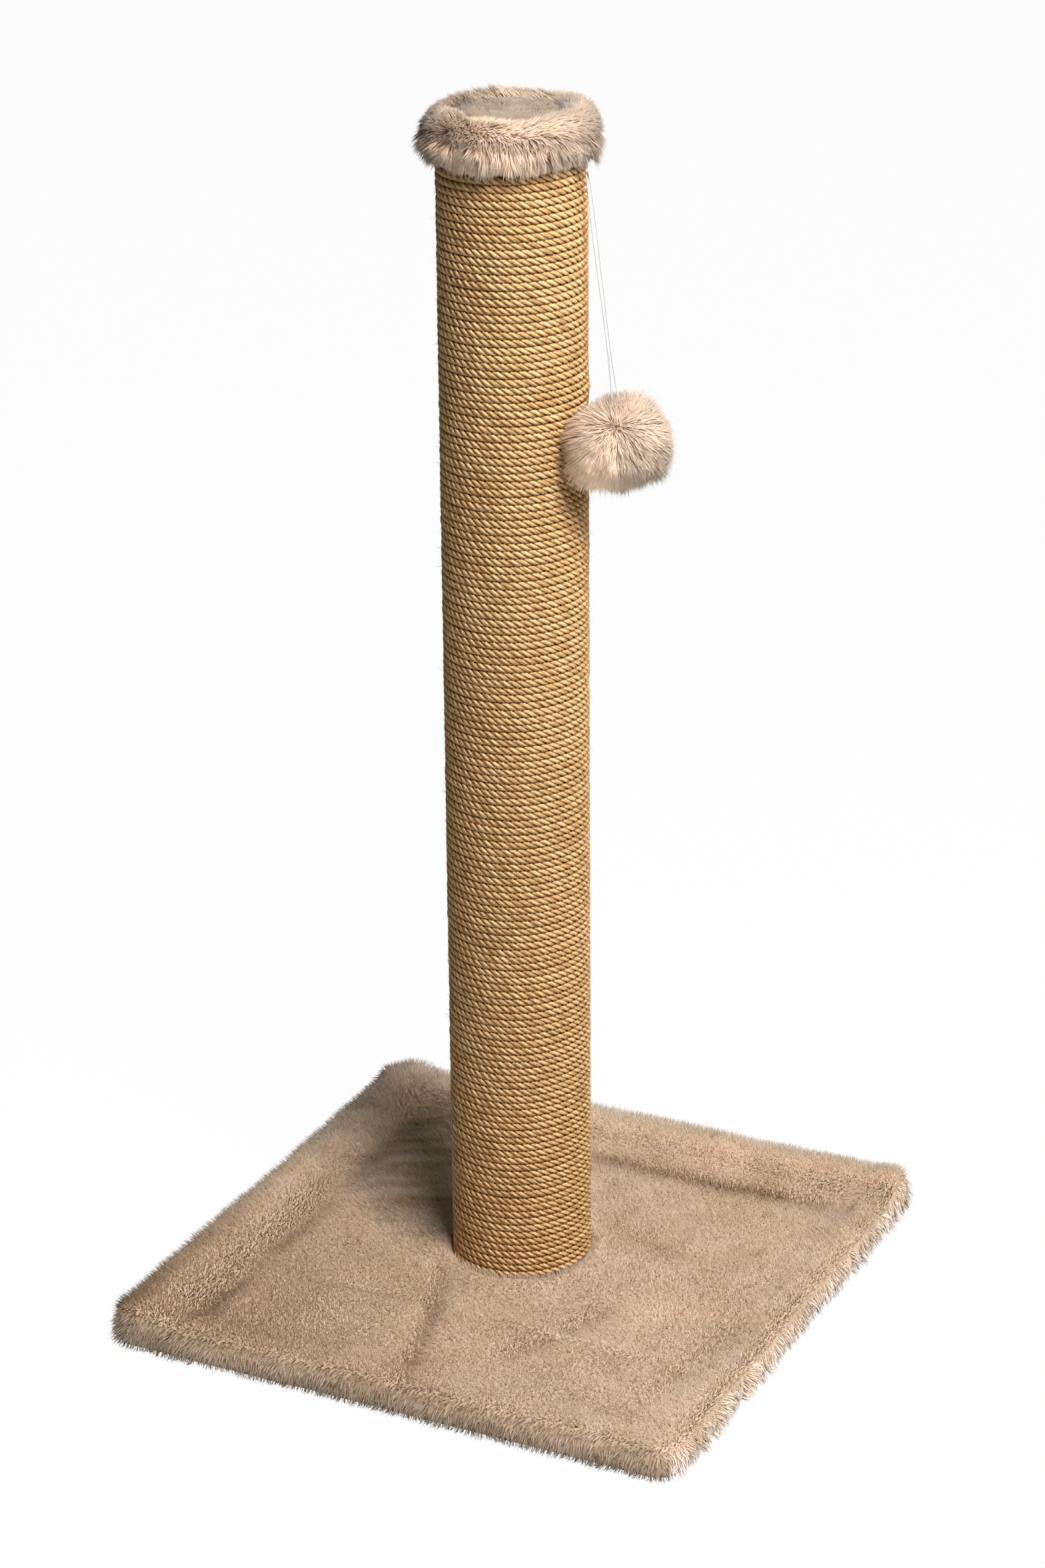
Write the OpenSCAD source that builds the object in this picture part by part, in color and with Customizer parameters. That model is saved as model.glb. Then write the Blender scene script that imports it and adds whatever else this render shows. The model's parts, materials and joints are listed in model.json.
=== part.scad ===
// Floor-standing cat scratcher: a square fur-covered base board, a rope-wound
// cardboard post bolted to it, a fur cap, and a fur ball on a doubled elastic cord.
// Millimetres, +Z up. The origin is the centre of the base's underside, and the
// edges of the base lie along X and Y. The toy hangs on the +X side.

/* [Base] */
// Side of the square base over its fur
base_w = 500; // [400:5:600]
// Thickness of the chipboard base board
base_board_t = 16; // [15:0.5:25]
// Thickness of the pile on the sides of the base
side_pile = 9; // [6:0.5:12]
// Thickness of the pile on the top of the base
top_pile = 8.4; // [5:0.2:12]
// Thickness of the fur's backing cloth
backing_t = 1.2; // [0.8:0.1:2]
// Thickness of the hem that is turned under the board
hem_t = 2.4; // [2:0.1:4]
// Width of the hem that is turned under the board
hem_w = 28; // [20:1:50]
// Radius of the base's corners seen from above
base_corner_r = 14; // [10:1:30]
// Radius of the rounded top edge of the base
base_edge_r = 8; // [4:0.5:10]
// Thickness of the lining sheet under the base
lining_t = 0.8; // [0.4:0.1:1]
// How far the lining laps over the hem
lining_lap = 10; // [5:1:16]
// Diameter of the spanner hole in the lining
lining_hole_d = 50; // [40:1:80]

/* [Post] */
// Outer diameter of the cardboard tube
tube_od = 102; // [80:1:130]
// Wall of the cardboard tube
tube_wall = 5; // [3:0.5:8]
// Length of the cardboard tube
tube_len = 927; // [600:1:1200]
// Thickness of the wooden plugs in both ends of the tube
plug_t = 25; // [23:1:40]
// Diameter of the wound rope
rope_d = 6; // [5:0.1:8]
// Room between one turn of the rope and the next
rope_gap = 0.12; // [0.02:0.02:0.5]

/* [Fasteners] */
// Thread diameter of the bolt through the base
bolt_d = 10; // [8:0.5:12]
// Length of the bolt under its head
bolt_len = 30; // [26:1:32]
// Height of the bolt's head
bolt_head_h = 6.4; // [4:0.2:7]
// Width of the bolt's head across its flats
bolt_head_af = 17; // [13:0.5:19]
// Outer diameter of the washer
washer_od = 28; // [24:0.5:40]
// Thickness of the washer
washer_t = 2.5; // [1.5:0.1:3]
// Length of the threaded insert
insert_len = 20; // [14:1:22]
// Outer diameter of the threaded insert's body
insert_od = 14; // [12.5:0.5:18]
// Diameter of the wood screws in the cap
screw_d = 4; // [3:0.2:5]
// Length of the wood screws in the cap
screw_len = 30; // [20:1:35]
// Number of wood screws in the cap
screw_count = 3; // [2:1:6]
// Thickness of the wire in every staple
staple_wire = 0.6; // [0.4:0.1:0.7]
// Width of the broad staples
staple_w = 10; // [8:0.5:12]
// Depth of the staples' legs
staple_leg = 8; // [5:0.5:10]

/* [Cap] */
// How far the board under the cap's fur stands out past the tube
cap_board_lap = 4; // [2:0.5:5]
// Thickness of the board under the cap's fur
cap_board_t = 12; // [9:0.5:20]
// How far the cap's fur stands out past the rope
cap_out = 11.4; // [8:0.2:16]
// Height of the fur band round the cap
cap_band_h = 42; // [38:1:50]
// How far the band hangs below the cap's board
cap_skirt = 10.6; // [8:0.2:14]
// Radius of the rolled rim at the top of the band
cap_rim_r = 9.2; // [7:0.2:11]
// Thickness of the fur disc on top of the cap
cap_pile = 8; // [5:0.5:10]

/* [Toy] */
// Distance from the rope's face to the point that the toy hangs from
hang_out = 4.9; // [4:0.1:5.5]
// How far the toy's pivot lies under the band's lower edge
hang_drop = 3; // [2.8:0.1:4]
// Distance from the pivot to the middle of the fur ball
hang_len = 210; // [207:0.5:213]
// Diameter of the elastic cord
cord_d = 1.2; // [1:0.05:1.4]
// Diameter of the knot at the pivot
knot_d = 4.4; // [4:0.1:4.6]
// Diameter of the fur ball's pressed core, across the cord
ball_d = 64; // [58:1:74]
// Height of the fur ball's pressed core, along the cord
ball_h = 58; // [54:1:60]
// Thickness of the ball's pressed fur
ball_wall = 9; // [5:0.5:12]
// Diameter of the tie's stem through the ball
tie_d = 2; // [1.5:0.1:2.4]
// Diameter of the eye's wire on the tie
eye_wire = 1.4; // [1:0.1:1.6]
// Diameter of the eye on the tie, at the middle of its wire
eye_d = 6; // [5.6:0.1:6.6]

/* [Fits] */
// Clearance round what is glued, stuffed or pushed into its place
seat_fit = 0.2; // [0.1:0.05:0.3]
// Clearance between pieces that move on each other
run_fit = 0.3; // [0.2:0.05:0.4]
// Radial clearance of screws and threads in their holes
thread_fit = 0.05; // [0.02:0.01:0.1]

/* [Hidden] */

// Small distance that lets a cutter run past a face
over = 1;
// Facets of round shapes that carry over as true curves
round_fn = 96;
// Facets of the round shapes inside a hull
hull_fn = 32;

// Levels of the base
board_z = hem_t;
board_top_z = board_z + base_board_t;
seat_z = board_top_z + backing_t;
base_top_z = seat_z + top_pile;
board_w = base_w - 2 * side_pile;
board_corner_r = max(2, base_corner_r - side_pile);
hem_inner_w = board_w - 2 * hem_w;
lining_w = hem_inner_w + 2 * lining_lap;
bottom_edge_r = 4;
// The hem's staples lie between the lining's edge and the hem's inner edge
hem_staple_at = hem_inner_w / 2 + lining_lap / 2;
hem_staple_step = 110;
hem_staple_reach = 165;

// The rope and the levels of the post
tube_r = tube_od / 2;
tube_bore_r = tube_r - tube_wall;
tube_top_z = seat_z + tube_len;
plug_r = tube_bore_r - seat_fit;
rope_pitch = rope_d + rope_gap;
rope_loops = 12;
loop_rings = 24;
rope_sides = 6;
// The six-sided section is a little under the rope's size, so that turns stay apart
section_share = 0.98;
section_r = section_share * rope_d / 2;
section_half_h = section_r * cos(30);
// The chords of a turn with few rings dip inwards, and the tube stays clear of them
helix_r = (tube_r + seat_fit) / cos(180 / loop_rings) + section_r;
post_r = tube_r + seat_fit / 2 + rope_d;
rope_rise = rope_loops * rope_pitch;
// The staples at the rope's ends, whose outer legs set how near the ends of the tube it starts
rope_staple_w = rope_pitch + staple_wire;
rope_staple_r = helix_r + section_r + seat_fit;
rope_end_room = rope_staple_w / 2 + seat_fit;
rope_low_z = seat_z + rope_end_room;
rope_high_z = tube_top_z - rope_end_room;
sleeve_low_z = rope_low_z + rope_rise + section_half_h + seat_fit;
sleeve_high_z = rope_high_z - rope_rise - section_half_h - seat_fit;
// The pocket in the base and the cap's skirt go round the rope and its staples
pocket_r = max(post_r, rope_staple_r + staple_wire) + run_fit;

// The bolt and what it clamps
bolt_r = bolt_d / 2;
bolt_hole_fit = 0.5;
washer_room = 1;
web_t = 6.5;
counterbore_z = board_top_z - web_t;
washer_z = counterbore_z - washer_t;
bolt_head_z = washer_z - bolt_head_h;
bolt_hole_r = bolt_r + bolt_hole_fit;
counterbore_r = washer_od / 2 + washer_room;
insert_r = insert_od / 2;
insert_collar_w = 1.5;
insert_collar_r = insert_r + insert_collar_w;
insert_collar_t = 1.2;

// The cap
cap_board_r = tube_r + cap_board_lap;
cap_board_top_z = tube_top_z + cap_board_t;
band_low_z = tube_top_z - cap_skirt;
band_high_z = band_low_z + cap_band_h;
band_r = post_r + cap_out;
band_board_r = cap_board_r + seat_fit;
skirt_edge_r = (band_r - pocket_r) / 2;
rim_z = band_high_z - cap_rim_r;
rim_at_r = band_r - cap_rim_r;
rim_inner_r = rim_at_r - cap_rim_r;
screw_at_r = 30;
screw_head_r = screw_d;
screw_head_h = 2.4;
cap_staple_count = 8;
cap_staple_z = tube_top_z + cap_board_t / 2;
// How far the fur disc on the cap falls at its rim and at its middle
cap_dip = 3;

// The toy's pivot, and its lean against the post
pivot_x = post_r + hang_out;
pivot_z = band_low_z - hang_drop;
ball_r = ball_d / 2;
ball_half_h = ball_h / 2;
lean = asin((post_r + run_fit + ball_r - pivot_x) / hang_len);
cord_r = cord_d / 2;
knot_r = knot_d / 2;
cord_sides = 8;
cord_steps = 3;

// The route of the hanging loop, in the frame of the pivot, along the cord:
// down the outer strand, round the tie's eye, and up the inner strand
cord_route = [
    [1.2, 0, -3.2], [1.5, 0, -10], [1.8, 0, -22], [1.9, 0, -38], [1.8, 0, -55],
    [1.6, 0, -72], [1.5, 0, -90], [1.4, 0, -108], [1.4, 0, -126], [1.5, 0, -144],
    [1.9, 0, -158], [2.4, 0, -168], [2.5, 0, -173], [1.8, 0, -175.3], [0, 0, -176.3],
    [-1.8, 0, -175.3], [-2.5, 0, -173], [-2.4, 0, -168], [-1.8, 0, -158],
    [-1.3, 0, -144], [-1.1, 0, -126], [-1.2, 0, -108], [-1.5, 0, -90], [-1.8, 0, -72],
    [-1.9, 0, -55], [-1.8, 0, -38], [-1.5, 0, -22], [-1.3, 0, -10], [-1.2, 0, -3.2]
];
cord_end_z = -176.3;
// The loop under the cap, outwards from the rope's face and upwards from the pivot
root_route = [
    [4.9, 1.6, 2.6], [4.2, 1.6, 6], [2.6, 1.6, 10], [1.6, 1.6, 12.6], [0.2, 1.6, 15.4],
    [-1.2, 1.6, 18], [-1.2, 1.4, 20], [-1.2, 0, 21.6], [-1.2, -1.4, 20],
    [-1.2, -1.6, 18], [0.2, -1.6, 15.4], [1.6, -1.6, 12.6], [2.6, -1.6, 10],
    [4.2, -1.6, 6], [4.9, -1.6, 2.6]
];
root_staple_z = 18.2;
notch_half_w = 5;
notch_depth = 8.2;

// The tie, whose eye holds the loop of the cord
eye_r = eye_d / 2;
eye_wire_r = eye_wire / 2;
eye_z = cord_end_z + cord_r + run_fit + eye_wire_r - eye_r;
tie_r = tie_d / 2;
tie_button_r = 6;
tie_button_t = 1.6;
filling_r = ball_r - ball_wall - seat_fit;
filling_half_h = ball_half_h - ball_wall - seat_fit;

// Points of a tube round a path: one ring of points for each point of the path,
// drawn on two directions across the path, the second as near to ref as it can be
function ring_frame(path, i, ref) =
    let (
        last = len(path) - 1,
        along = path[min(i + 1, last)] - path[max(i - 1, 0)],
        t = along / norm(along),
        side = ref - (ref * t) * t,
        b = side / norm(side)
    ) [cross(b, t), b];

function tube_points(path, r, sides, ref) = [
    for (i = [0 : len(path) - 1])
        let (f = ring_frame(path, i, ref))
            for (j = [0 : sides - 1])
                let (a = 360 * j / sides) path[i] + r * (cos(a) * f[0] + sin(a) * f[1])
];

function tube_faces(rings, sides) = concat(
    [for (j = [1 : sides - 2]) [0, j, j + 1]],
    [for (i = [0 : rings - 2]) for (j = [0 : sides - 1])
        let (k = (j + 1) % sides) [i * sides + j, (i + 1) * sides + j, (i + 1) * sides + k]],
    [for (i = [0 : rings - 2]) for (j = [0 : sides - 1])
        let (k = (j + 1) % sides) [i * sides + j, (i + 1) * sides + k, i * sides + k]],
    [for (j = [1 : sides - 2]) let (e = (rings - 1) * sides) [e, e + j + 1, e + j]]
);

// A smooth path through hand-set points, with a number of steps between two points
function smooth_point(p, i, u) =
    let (
        last = len(p) - 1,
        a = p[max(i - 1, 0)], b = p[i], c = p[i + 1], d = p[min(i + 2, last)]
    ) 0.5 * (2 * b + (c - a) * u + (2 * a - 5 * b + 4 * c - d) * u * u
        + (3 * b - a - 3 * c + d) * u * u * u);

function smooth_path(p, steps) = concat(
    [for (i = [0 : len(p) - 2]) for (k = [0 : steps - 1]) smooth_point(p, i, k / steps)],
    [p[len(p) - 1]]
);

// Centre line of a run of turns: straight for one rope diameter at both ends
function helix_point(a, z) = [helix_r * cos(a), helix_r * sin(a), z + rope_pitch * a / 360];
function helix_start(z) = helix_point(0, z) - [0, rope_d, 0];
function helix_end(z) = helix_point(360 * rope_loops, z) + [0, rope_d, 0];
function helix_path(z) = concat(
    [helix_start(z)],
    [for (i = [0 : rope_loops * loop_rings]) helix_point(360 * i / loop_rings, z)],
    [helix_end(z)]
);

// The least distance between the points of one turn and those of the next
winding_points = tube_points(helix_path(0), section_r, rope_sides, [0, 0, 1]);
winding_turn = loop_rings * rope_sides;
winding_gap = min([
    for (i = [0 : winding_turn - 1])
        for (j = [-2 * rope_sides : 2 * rope_sides])
            let (k = i + winding_turn + j)
                if (k > winding_turn / 2) norm(winding_points[i] - winding_points[k])
]);
echo(least_gap_between_turns_mm = winding_gap);

// A square with round corners
module rounded_square(w, r) {
    square([w - 2 * r, w], center = true);
    square([w, w - 2 * r], center = true);
    for (x = [-1, 1], y = [-1, 1])
        translate([x * (w / 2 - r), y * (w / 2 - r)])
            circle(r, $fn = round_fn);
}

// A ring with a round edge, the corner of a slab: its edge has the radius edge_r
module edge_ring(corner_r, edge_r) {
    rotate_extrude($fn = hull_fn)
        intersection() {
            translate([corner_r - edge_r, 0])
                circle(edge_r, $fn = hull_fn);
            translate([0, -edge_r])
                square([corner_r, 2 * edge_r]);
        }
}

// A square slab whose corners, top edge and bottom edge are round
module soft_slab(w, h, corner_r, low_r, high_r) {
    at = w / 2 - corner_r;
    hull()
        for (x = [-1, 1], y = [-1, 1], edge = [[low_r, low_r], [h - high_r, high_r]])
            translate([x * at, y * at, edge[0]])
                edge_ring(corner_r, edge[1]);
}

// A round hole or rod between two levels
module rod(r, low, high) {
    translate([0, 0, low])
        cylinder(r = r, h = high - low, $fn = round_fn);
}

// A round washer, sleeve or tube between two levels
module sleeve(outer_r, inner_r, low, high) {
    difference() {
        rod(outer_r, low, high);
        rod(inner_r, low - over, high + over);
    }
}

// A staple whose crown lies along Y in the plane z = 0, with its legs towards -X
module staple(w, leg, wire) {
    translate([-wire, -w / 2, -wire / 2])
        cube([wire, w, wire]);
    for (y = [-1, 1])
        translate([-wire - leg, y * (w - wire) / 2 - wire / 2, -wire / 2])
            cube([leg, wire, wire]);
}

// An egg-shaped ball with its axis along Z
module egg(r, half_h) {
    rotate_extrude($fn = round_fn)
        polygon([for (a = [-90 : 10 : 90]) [r * cos(a), half_h * sin(a)]]);
}

// What hangs from the pivot, drawn with the pivot at the origin and the cord along -Z
module hanging() {
    translate([pivot_x, 0, pivot_z])
        rotate([0, -lean, 0])
            children();
}

// The base
module base_board() {
    color("burlywood")
        difference() {
            translate([0, 0, board_z])
                linear_extrude(base_board_t)
                    rounded_square(board_w, board_corner_r);
            rod(bolt_hole_r, board_z - over, board_top_z + over);
            rod(counterbore_r, board_z - over, counterbore_z);
        }
}

module base_cover() {
    color("rosybrown")
        difference() {
            soft_slab(base_w, base_top_z, base_corner_r, bottom_edge_r, base_edge_r);
            translate([0, 0, board_z])
                linear_extrude(base_board_t)
                    rounded_square(board_w + 2 * seat_fit, board_corner_r + seat_fit);
            translate([0, 0, -over])
                linear_extrude(board_z + 2 * over)
                    square(hem_inner_w, center = true);
            translate([0, 0, -over])
                linear_extrude(over + lining_t)
                    square(lining_w, center = true);
            rod(pocket_r, seat_z, base_top_z + over);
            rod(bolt_hole_r, board_top_z - over, seat_z + over);
        }
}

module cover_staples() {
    color("silver")
        for (side = [0 : 90 : 270], at = [-hem_staple_reach : hem_staple_step : hem_staple_reach])
            rotate([0, 0, side])
                translate([hem_staple_at, at, lining_t])
                    rotate([0, 90, 0])
                        staple(staple_w, staple_leg, staple_wire);
}

module base_lining() {
    color("dimgray")
        difference() {
            linear_extrude(lining_t)
                square(lining_w - 2 * seat_fit, center = true);
            rod(lining_hole_d / 2, -over, lining_t + over);
        }
}

// The post
module post_tube() {
    color("tan")
        sleeve(tube_r, tube_bore_r, seat_z, tube_top_z);
}

module bottom_plug() {
    color("wheat")
        difference() {
            rod(plug_r, seat_z, seat_z + plug_t);
            rod(insert_r + thread_fit, seat_z - over, seat_z + plug_t + over);
            rod(insert_collar_r + thread_fit, seat_z - over, seat_z + insert_collar_t);
        }
}

module top_plug() {
    color("wheat")
        difference() {
            rod(plug_r, tube_top_z - plug_t, tube_top_z);
            for (i = [0 : screw_count - 1])
                rotate([0, 0, 360 * i / screw_count])
                    translate([screw_at_r, 0, 0])
                        rod(screw_d / 2 + thread_fit, tube_top_z - plug_t - over, tube_top_z + over);
        }
}

module plug_staples() {
    color("silver")
        for (z = [seat_z + plug_t / 2, tube_top_z - plug_t / 2], a = [45 : 90 : 315])
            rotate([0, 0, a])
                translate([tube_r - 2 * staple_wire, 0, z])
                    staple(staple_w, tube_wall + staple_leg / 2, staple_wire);
}

module threaded_insert() {
    color("goldenrod")
        difference() {
            union() {
                rod(insert_r, seat_z, seat_z + insert_len);
                rod(insert_collar_r, seat_z, seat_z + insert_collar_t);
            }
            rod(bolt_r + thread_fit, seat_z - over, seat_z + insert_len + over);
        }
}

module post_bolt() {
    color("silver") {
        rod(bolt_r, washer_z, washer_z + bolt_len);
        translate([0, 0, bolt_head_z])
            cylinder(d = bolt_head_af / cos(30), h = bolt_head_h, $fn = 6);
    }
}

module bolt_washer() {
    color("silver")
        sleeve(washer_od / 2, bolt_r + seat_fit, washer_z, counterbore_z);
}

module rope_turns(z) {
    path = helix_path(z);
    color("peru")
        polyhedron(
            points = tube_points(path, section_r, rope_sides, [0, 0, 1]),
            faces = tube_faces(len(path), rope_sides),
            convexity = 10
        );
}

module rope_turns_bottom() {
    rotate([0, 0, 90])
        rope_turns(rope_low_z);
}

module rope_turns_middle() {
    color("peru")
        sleeve(post_r, tube_r + seat_fit / 2, sleeve_low_z, sleeve_high_z);
}

module rope_turns_top() {
    rotate([0, 0, 90])
        rope_turns(rope_high_z - rope_rise);
}

// One staple over each end of the rope, with its legs on both sides of the turn
module rope_staples() {
    reach = 2 * section_r + tube_wall;
    color("silver")
        for (end = [[rope_d / 2, rope_low_z], [-rope_d / 2, rope_high_z]])
            translate([end[0], rope_staple_r + staple_wire, end[1]])
                rotate([0, 0, 90])
                    rotate([90, 0, 0])
                        staple(rope_staple_w, reach, staple_wire);
}

// The cap
module cap_board() {
    color("burlywood")
        difference() {
            rod(cap_board_r, tube_top_z, cap_board_top_z);
            for (i = [0 : screw_count - 1])
                rotate([0, 0, 360 * i / screw_count])
                    translate([screw_at_r, 0, 0]) {
                        rod(screw_d / 2 + thread_fit, tube_top_z - over, cap_board_top_z + over);
                        translate([0, 0, cap_board_top_z - screw_head_h])
                            cylinder(r1 = screw_d / 2 + thread_fit, r2 = screw_head_r + thread_fit,
                                h = screw_head_h, $fn = round_fn);
                    }
        }
}

module cap_screws() {
    color("silver")
        for (i = [0 : screw_count - 1])
            rotate([0, 0, 360 * i / screw_count])
                translate([screw_at_r, 0, cap_board_top_z - screw_len])
                    rotate_extrude($fn = round_fn)
                        polygon([
                            [0, 0], [screw_d / 2, screw_d], [screw_d / 2, screw_len - screw_head_h],
                            [screw_head_r, screw_len], [0, screw_len]
                        ]);
}

// A round piece of fur, a little domed and drawn down at its middle
module cap_cover() {
    r = rim_inner_r - seat_fit;
    color("rosybrown")
        translate([0, 0, cap_board_top_z])
            rotate_extrude($fn = round_fn)
                polygon([
                    [0, 0], [r, 0], [r, cap_pile - cap_dip], [r - cap_dip / 2, cap_pile - cap_dip / 3],
                    [r - 2 * cap_dip, cap_pile], [r / 2, cap_pile - cap_dip / 8],
                    [2 * cap_dip, cap_pile - cap_dip / 2], [0, cap_pile - cap_dip]
                ]);
}

module band_section() {
    difference() {
        union() {
            translate([rim_at_r, rim_z])
                circle(cap_rim_r, $fn = round_fn);
            translate([pocket_r, band_low_z + skirt_edge_r])
                square([band_r - pocket_r, rim_z - band_low_z - skirt_edge_r]);
            translate([pocket_r + skirt_edge_r, band_low_z + skirt_edge_r])
                circle(skirt_edge_r, $fn = round_fn);
            translate([rim_inner_r, cap_board_top_z])
                square([band_r - rim_inner_r - cap_rim_r, rim_z - cap_board_top_z]);
            translate([band_board_r, tube_top_z])
                square([band_r - band_board_r - cap_rim_r, rim_z - tube_top_z]);
        }
        translate([0, tube_top_z])
            square([band_board_r, cap_board_t]);
    }
}

module cap_band() {
    color("rosybrown")
        difference() {
            rotate_extrude($fn = round_fn)
                band_section();
            // The notch that the cord comes down in
            translate([cap_board_r - over, -notch_half_w, band_low_z - over])
                cube([post_r + notch_depth - cap_board_r + over, 2 * notch_half_w,
                    cap_board_top_z - band_low_z]);
        }
}

module cap_staples() {
    crown_r = cap_board_r - seat_fit / 2;
    color("silver")
        for (i = [0 : cap_staple_count - 1])
            rotate([0, 0, 360 * (i + 0.5) / cap_staple_count])
                translate([crown_r, 0, cap_staple_z])
                    staple(staple_w, staple_leg, staple_wire);
}

// The toy
module cord_staple() {
    crown_x = cap_board_r + 2 * cord_d + staple_wire;
    color("silver")
        translate([crown_x, 0, pivot_z + root_staple_z])
            staple(staple_w - 2, staple_leg + 2 * cord_d, staple_wire);
}

module cord_root() {
    path = smooth_path(root_route, cord_steps);
    color("whitesmoke")
        translate([post_r, 0, pivot_z])
            polyhedron(
                points = tube_points(path, cord_r, cord_sides, [1, 0, 0.4]),
                faces = tube_faces(len(path), cord_sides),
                convexity = 6
            );
}

module cord_knot() {
    color("whitesmoke")
        translate([pivot_x, 0, pivot_z])
            sphere(knot_r, $fn = round_fn);
}

module toy_cord() {
    path = smooth_path(cord_route, cord_steps);
    color("whitesmoke")
        hanging()
            polyhedron(
                points = tube_points(path, cord_r, cord_sides, [0, 1, 0]),
                faces = tube_faces(len(path), cord_sides),
                convexity = 6
            );
}

module pompom_tie() {
    color("whitesmoke")
        hanging() {
            translate([0, 0, eye_z])
                rotate([0, 90, 0])
                    rotate_extrude($fn = round_fn)
                        translate([eye_r, 0])
                            circle(eye_wire_r, $fn = round_fn);
            rod(tie_r, -hang_len, eye_z - eye_r);
            rod(tie_button_r, -hang_len - tie_button_t / 2, -hang_len + tie_button_t / 2);
        }
}

module pompom_cover() {
    color("rosybrown")
        hanging()
            difference() {
                translate([0, 0, -hang_len])
                    egg(ball_r, ball_half_h);
                translate([0, 0, -hang_len])
                    egg(ball_r - ball_wall, ball_half_h - ball_wall);
                rod(tie_r + run_fit, -hang_len, -hang_len + ball_half_h + over);
            }
}

module pompom_filling() {
    color("white")
        hanging()
            difference() {
                translate([0, 0, -hang_len])
                    egg(filling_r, filling_half_h);
                rod(tie_r + run_fit, -hang_len, -hang_len + ball_half_h);
                rod(tie_button_r + run_fit, -hang_len - tie_button_t / 2 - run_fit,
                    -hang_len + tie_button_t / 2 + run_fit);
            }
}

base_board();
base_cover();
cover_staples();
base_lining();
post_tube();
bottom_plug();
top_plug();
plug_staples();
threaded_insert();
post_bolt();
bolt_washer();
rope_turns_bottom();
rope_turns_middle();
rope_turns_top();
rope_staples();
cap_board();
cap_screws();
cap_cover();
cap_band();
cap_staples();
cord_staple();
cord_root();
cord_knot();
toy_cord();
pompom_tie();
pompom_cover();
pompom_filling();
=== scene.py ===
"""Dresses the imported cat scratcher: fur, wound rope, elastic cord, fur ball and hidden fittings.

Metres, +Z up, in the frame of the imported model. Each fur piece is a closed ground of
cloth on which many small tufts of pile stand.
"""

from __future__ import annotations

import itertools
import json
import logging
import math
from dataclasses import dataclass, field, replace
from enum import Enum
from functools import partial
from typing import Callable, Optional, Sequence

import bmesh
import bpy
import numpy as np
from mathutils import Matrix, Vector, kdtree

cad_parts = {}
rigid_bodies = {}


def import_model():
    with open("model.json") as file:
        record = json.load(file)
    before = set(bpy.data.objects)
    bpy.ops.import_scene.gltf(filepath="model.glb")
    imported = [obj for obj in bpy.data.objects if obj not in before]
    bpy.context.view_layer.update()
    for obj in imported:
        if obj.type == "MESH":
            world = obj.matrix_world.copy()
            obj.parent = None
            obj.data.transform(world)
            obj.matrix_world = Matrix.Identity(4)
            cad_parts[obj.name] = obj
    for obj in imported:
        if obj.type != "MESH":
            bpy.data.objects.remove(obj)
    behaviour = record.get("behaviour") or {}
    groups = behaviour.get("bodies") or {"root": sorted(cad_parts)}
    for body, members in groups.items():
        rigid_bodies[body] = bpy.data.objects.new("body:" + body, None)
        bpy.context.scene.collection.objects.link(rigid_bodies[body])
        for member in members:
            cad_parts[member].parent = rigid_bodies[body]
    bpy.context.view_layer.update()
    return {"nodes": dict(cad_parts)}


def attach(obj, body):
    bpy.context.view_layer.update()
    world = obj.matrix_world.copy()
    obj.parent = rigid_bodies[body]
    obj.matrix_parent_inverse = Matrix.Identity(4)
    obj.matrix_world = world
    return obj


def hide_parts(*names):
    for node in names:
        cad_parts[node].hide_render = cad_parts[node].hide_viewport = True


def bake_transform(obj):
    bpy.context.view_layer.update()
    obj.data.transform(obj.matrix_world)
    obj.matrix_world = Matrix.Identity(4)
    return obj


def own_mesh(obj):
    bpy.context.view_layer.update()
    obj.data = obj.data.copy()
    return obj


log = logging.getLogger("scratcher")

Array = np.ndarray
Colour = tuple[float, float, float]
Section = Sequence[tuple[float, float]]
Value = object
Places = Callable[[Array, Array], Array]
Room = Callable[[Array], Array]

POST_FACE = 0.0571
MERGE = 1e-5
ROOT_SINK = 0.0008
FLOOR_GAP = 0.0002
UP = np.array([0.0, 0.0, 1.0])


class Growth(Enum):
    """How a tuft is drawn: its number of rings between the root and the tip."""

    STRAIGHT = 0
    BENT = 1
    CURVED = 2


# Noise and small vector sums


def unit(vectors: Array) -> Array:
    """Vectors brought to length one, along the last axis."""
    return vectors / np.maximum(np.linalg.norm(vectors, axis=-1, keepdims=True), 1e-12)


def dots(a: Array, b: Array) -> Array:
    """Row-wise dot products, kept as one column."""
    return np.sum(a * b, axis=-1, keepdims=True)


def ease(value: Array) -> Array:
    """A smooth step from 0 to 1, held outside that range."""
    part = np.clip(value, 0.0, 1.0)
    return part * part * (3 - 2 * part)


def bell(off: Array, width: float) -> Array:
    """A smooth bump: 1 in the middle and about a third at one width from it."""
    return np.exp(-((off / width) ** 2))


def level(x: Array, y: Array) -> Array:
    """Places at no height, one row of three each."""
    return np.column_stack([x, y, np.zeros_like(x)])


def lattice(cells: Array, seed: int) -> Array:
    """Gives every whole-number cell its own steady number.

    Args:
        cells: Whole-number places, one row of three each.
        seed: Which set of numbers is drawn.

    Returns:
        A number from 0 to 1 for each row.
    """
    mask = np.uint64(0xFFFFFFFF)
    mix = np.full(len(cells), (seed * 2654435761 + 97) & 0xFFFFFFFF, np.uint64)
    for axis, odd in enumerate((2246822519, 3266489917, 668265263)):
        mix ^= cells[:, axis].astype(np.int64).astype(np.uint64) & mask
        mix = (mix * np.uint64(odd)) & mask
        mix ^= mix >> np.uint64(15)
    mix = (mix * np.uint64(2654435761)) & mask
    mix ^= mix >> np.uint64(13)
    return mix.astype(float) / 0xFFFFFFFF


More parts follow.
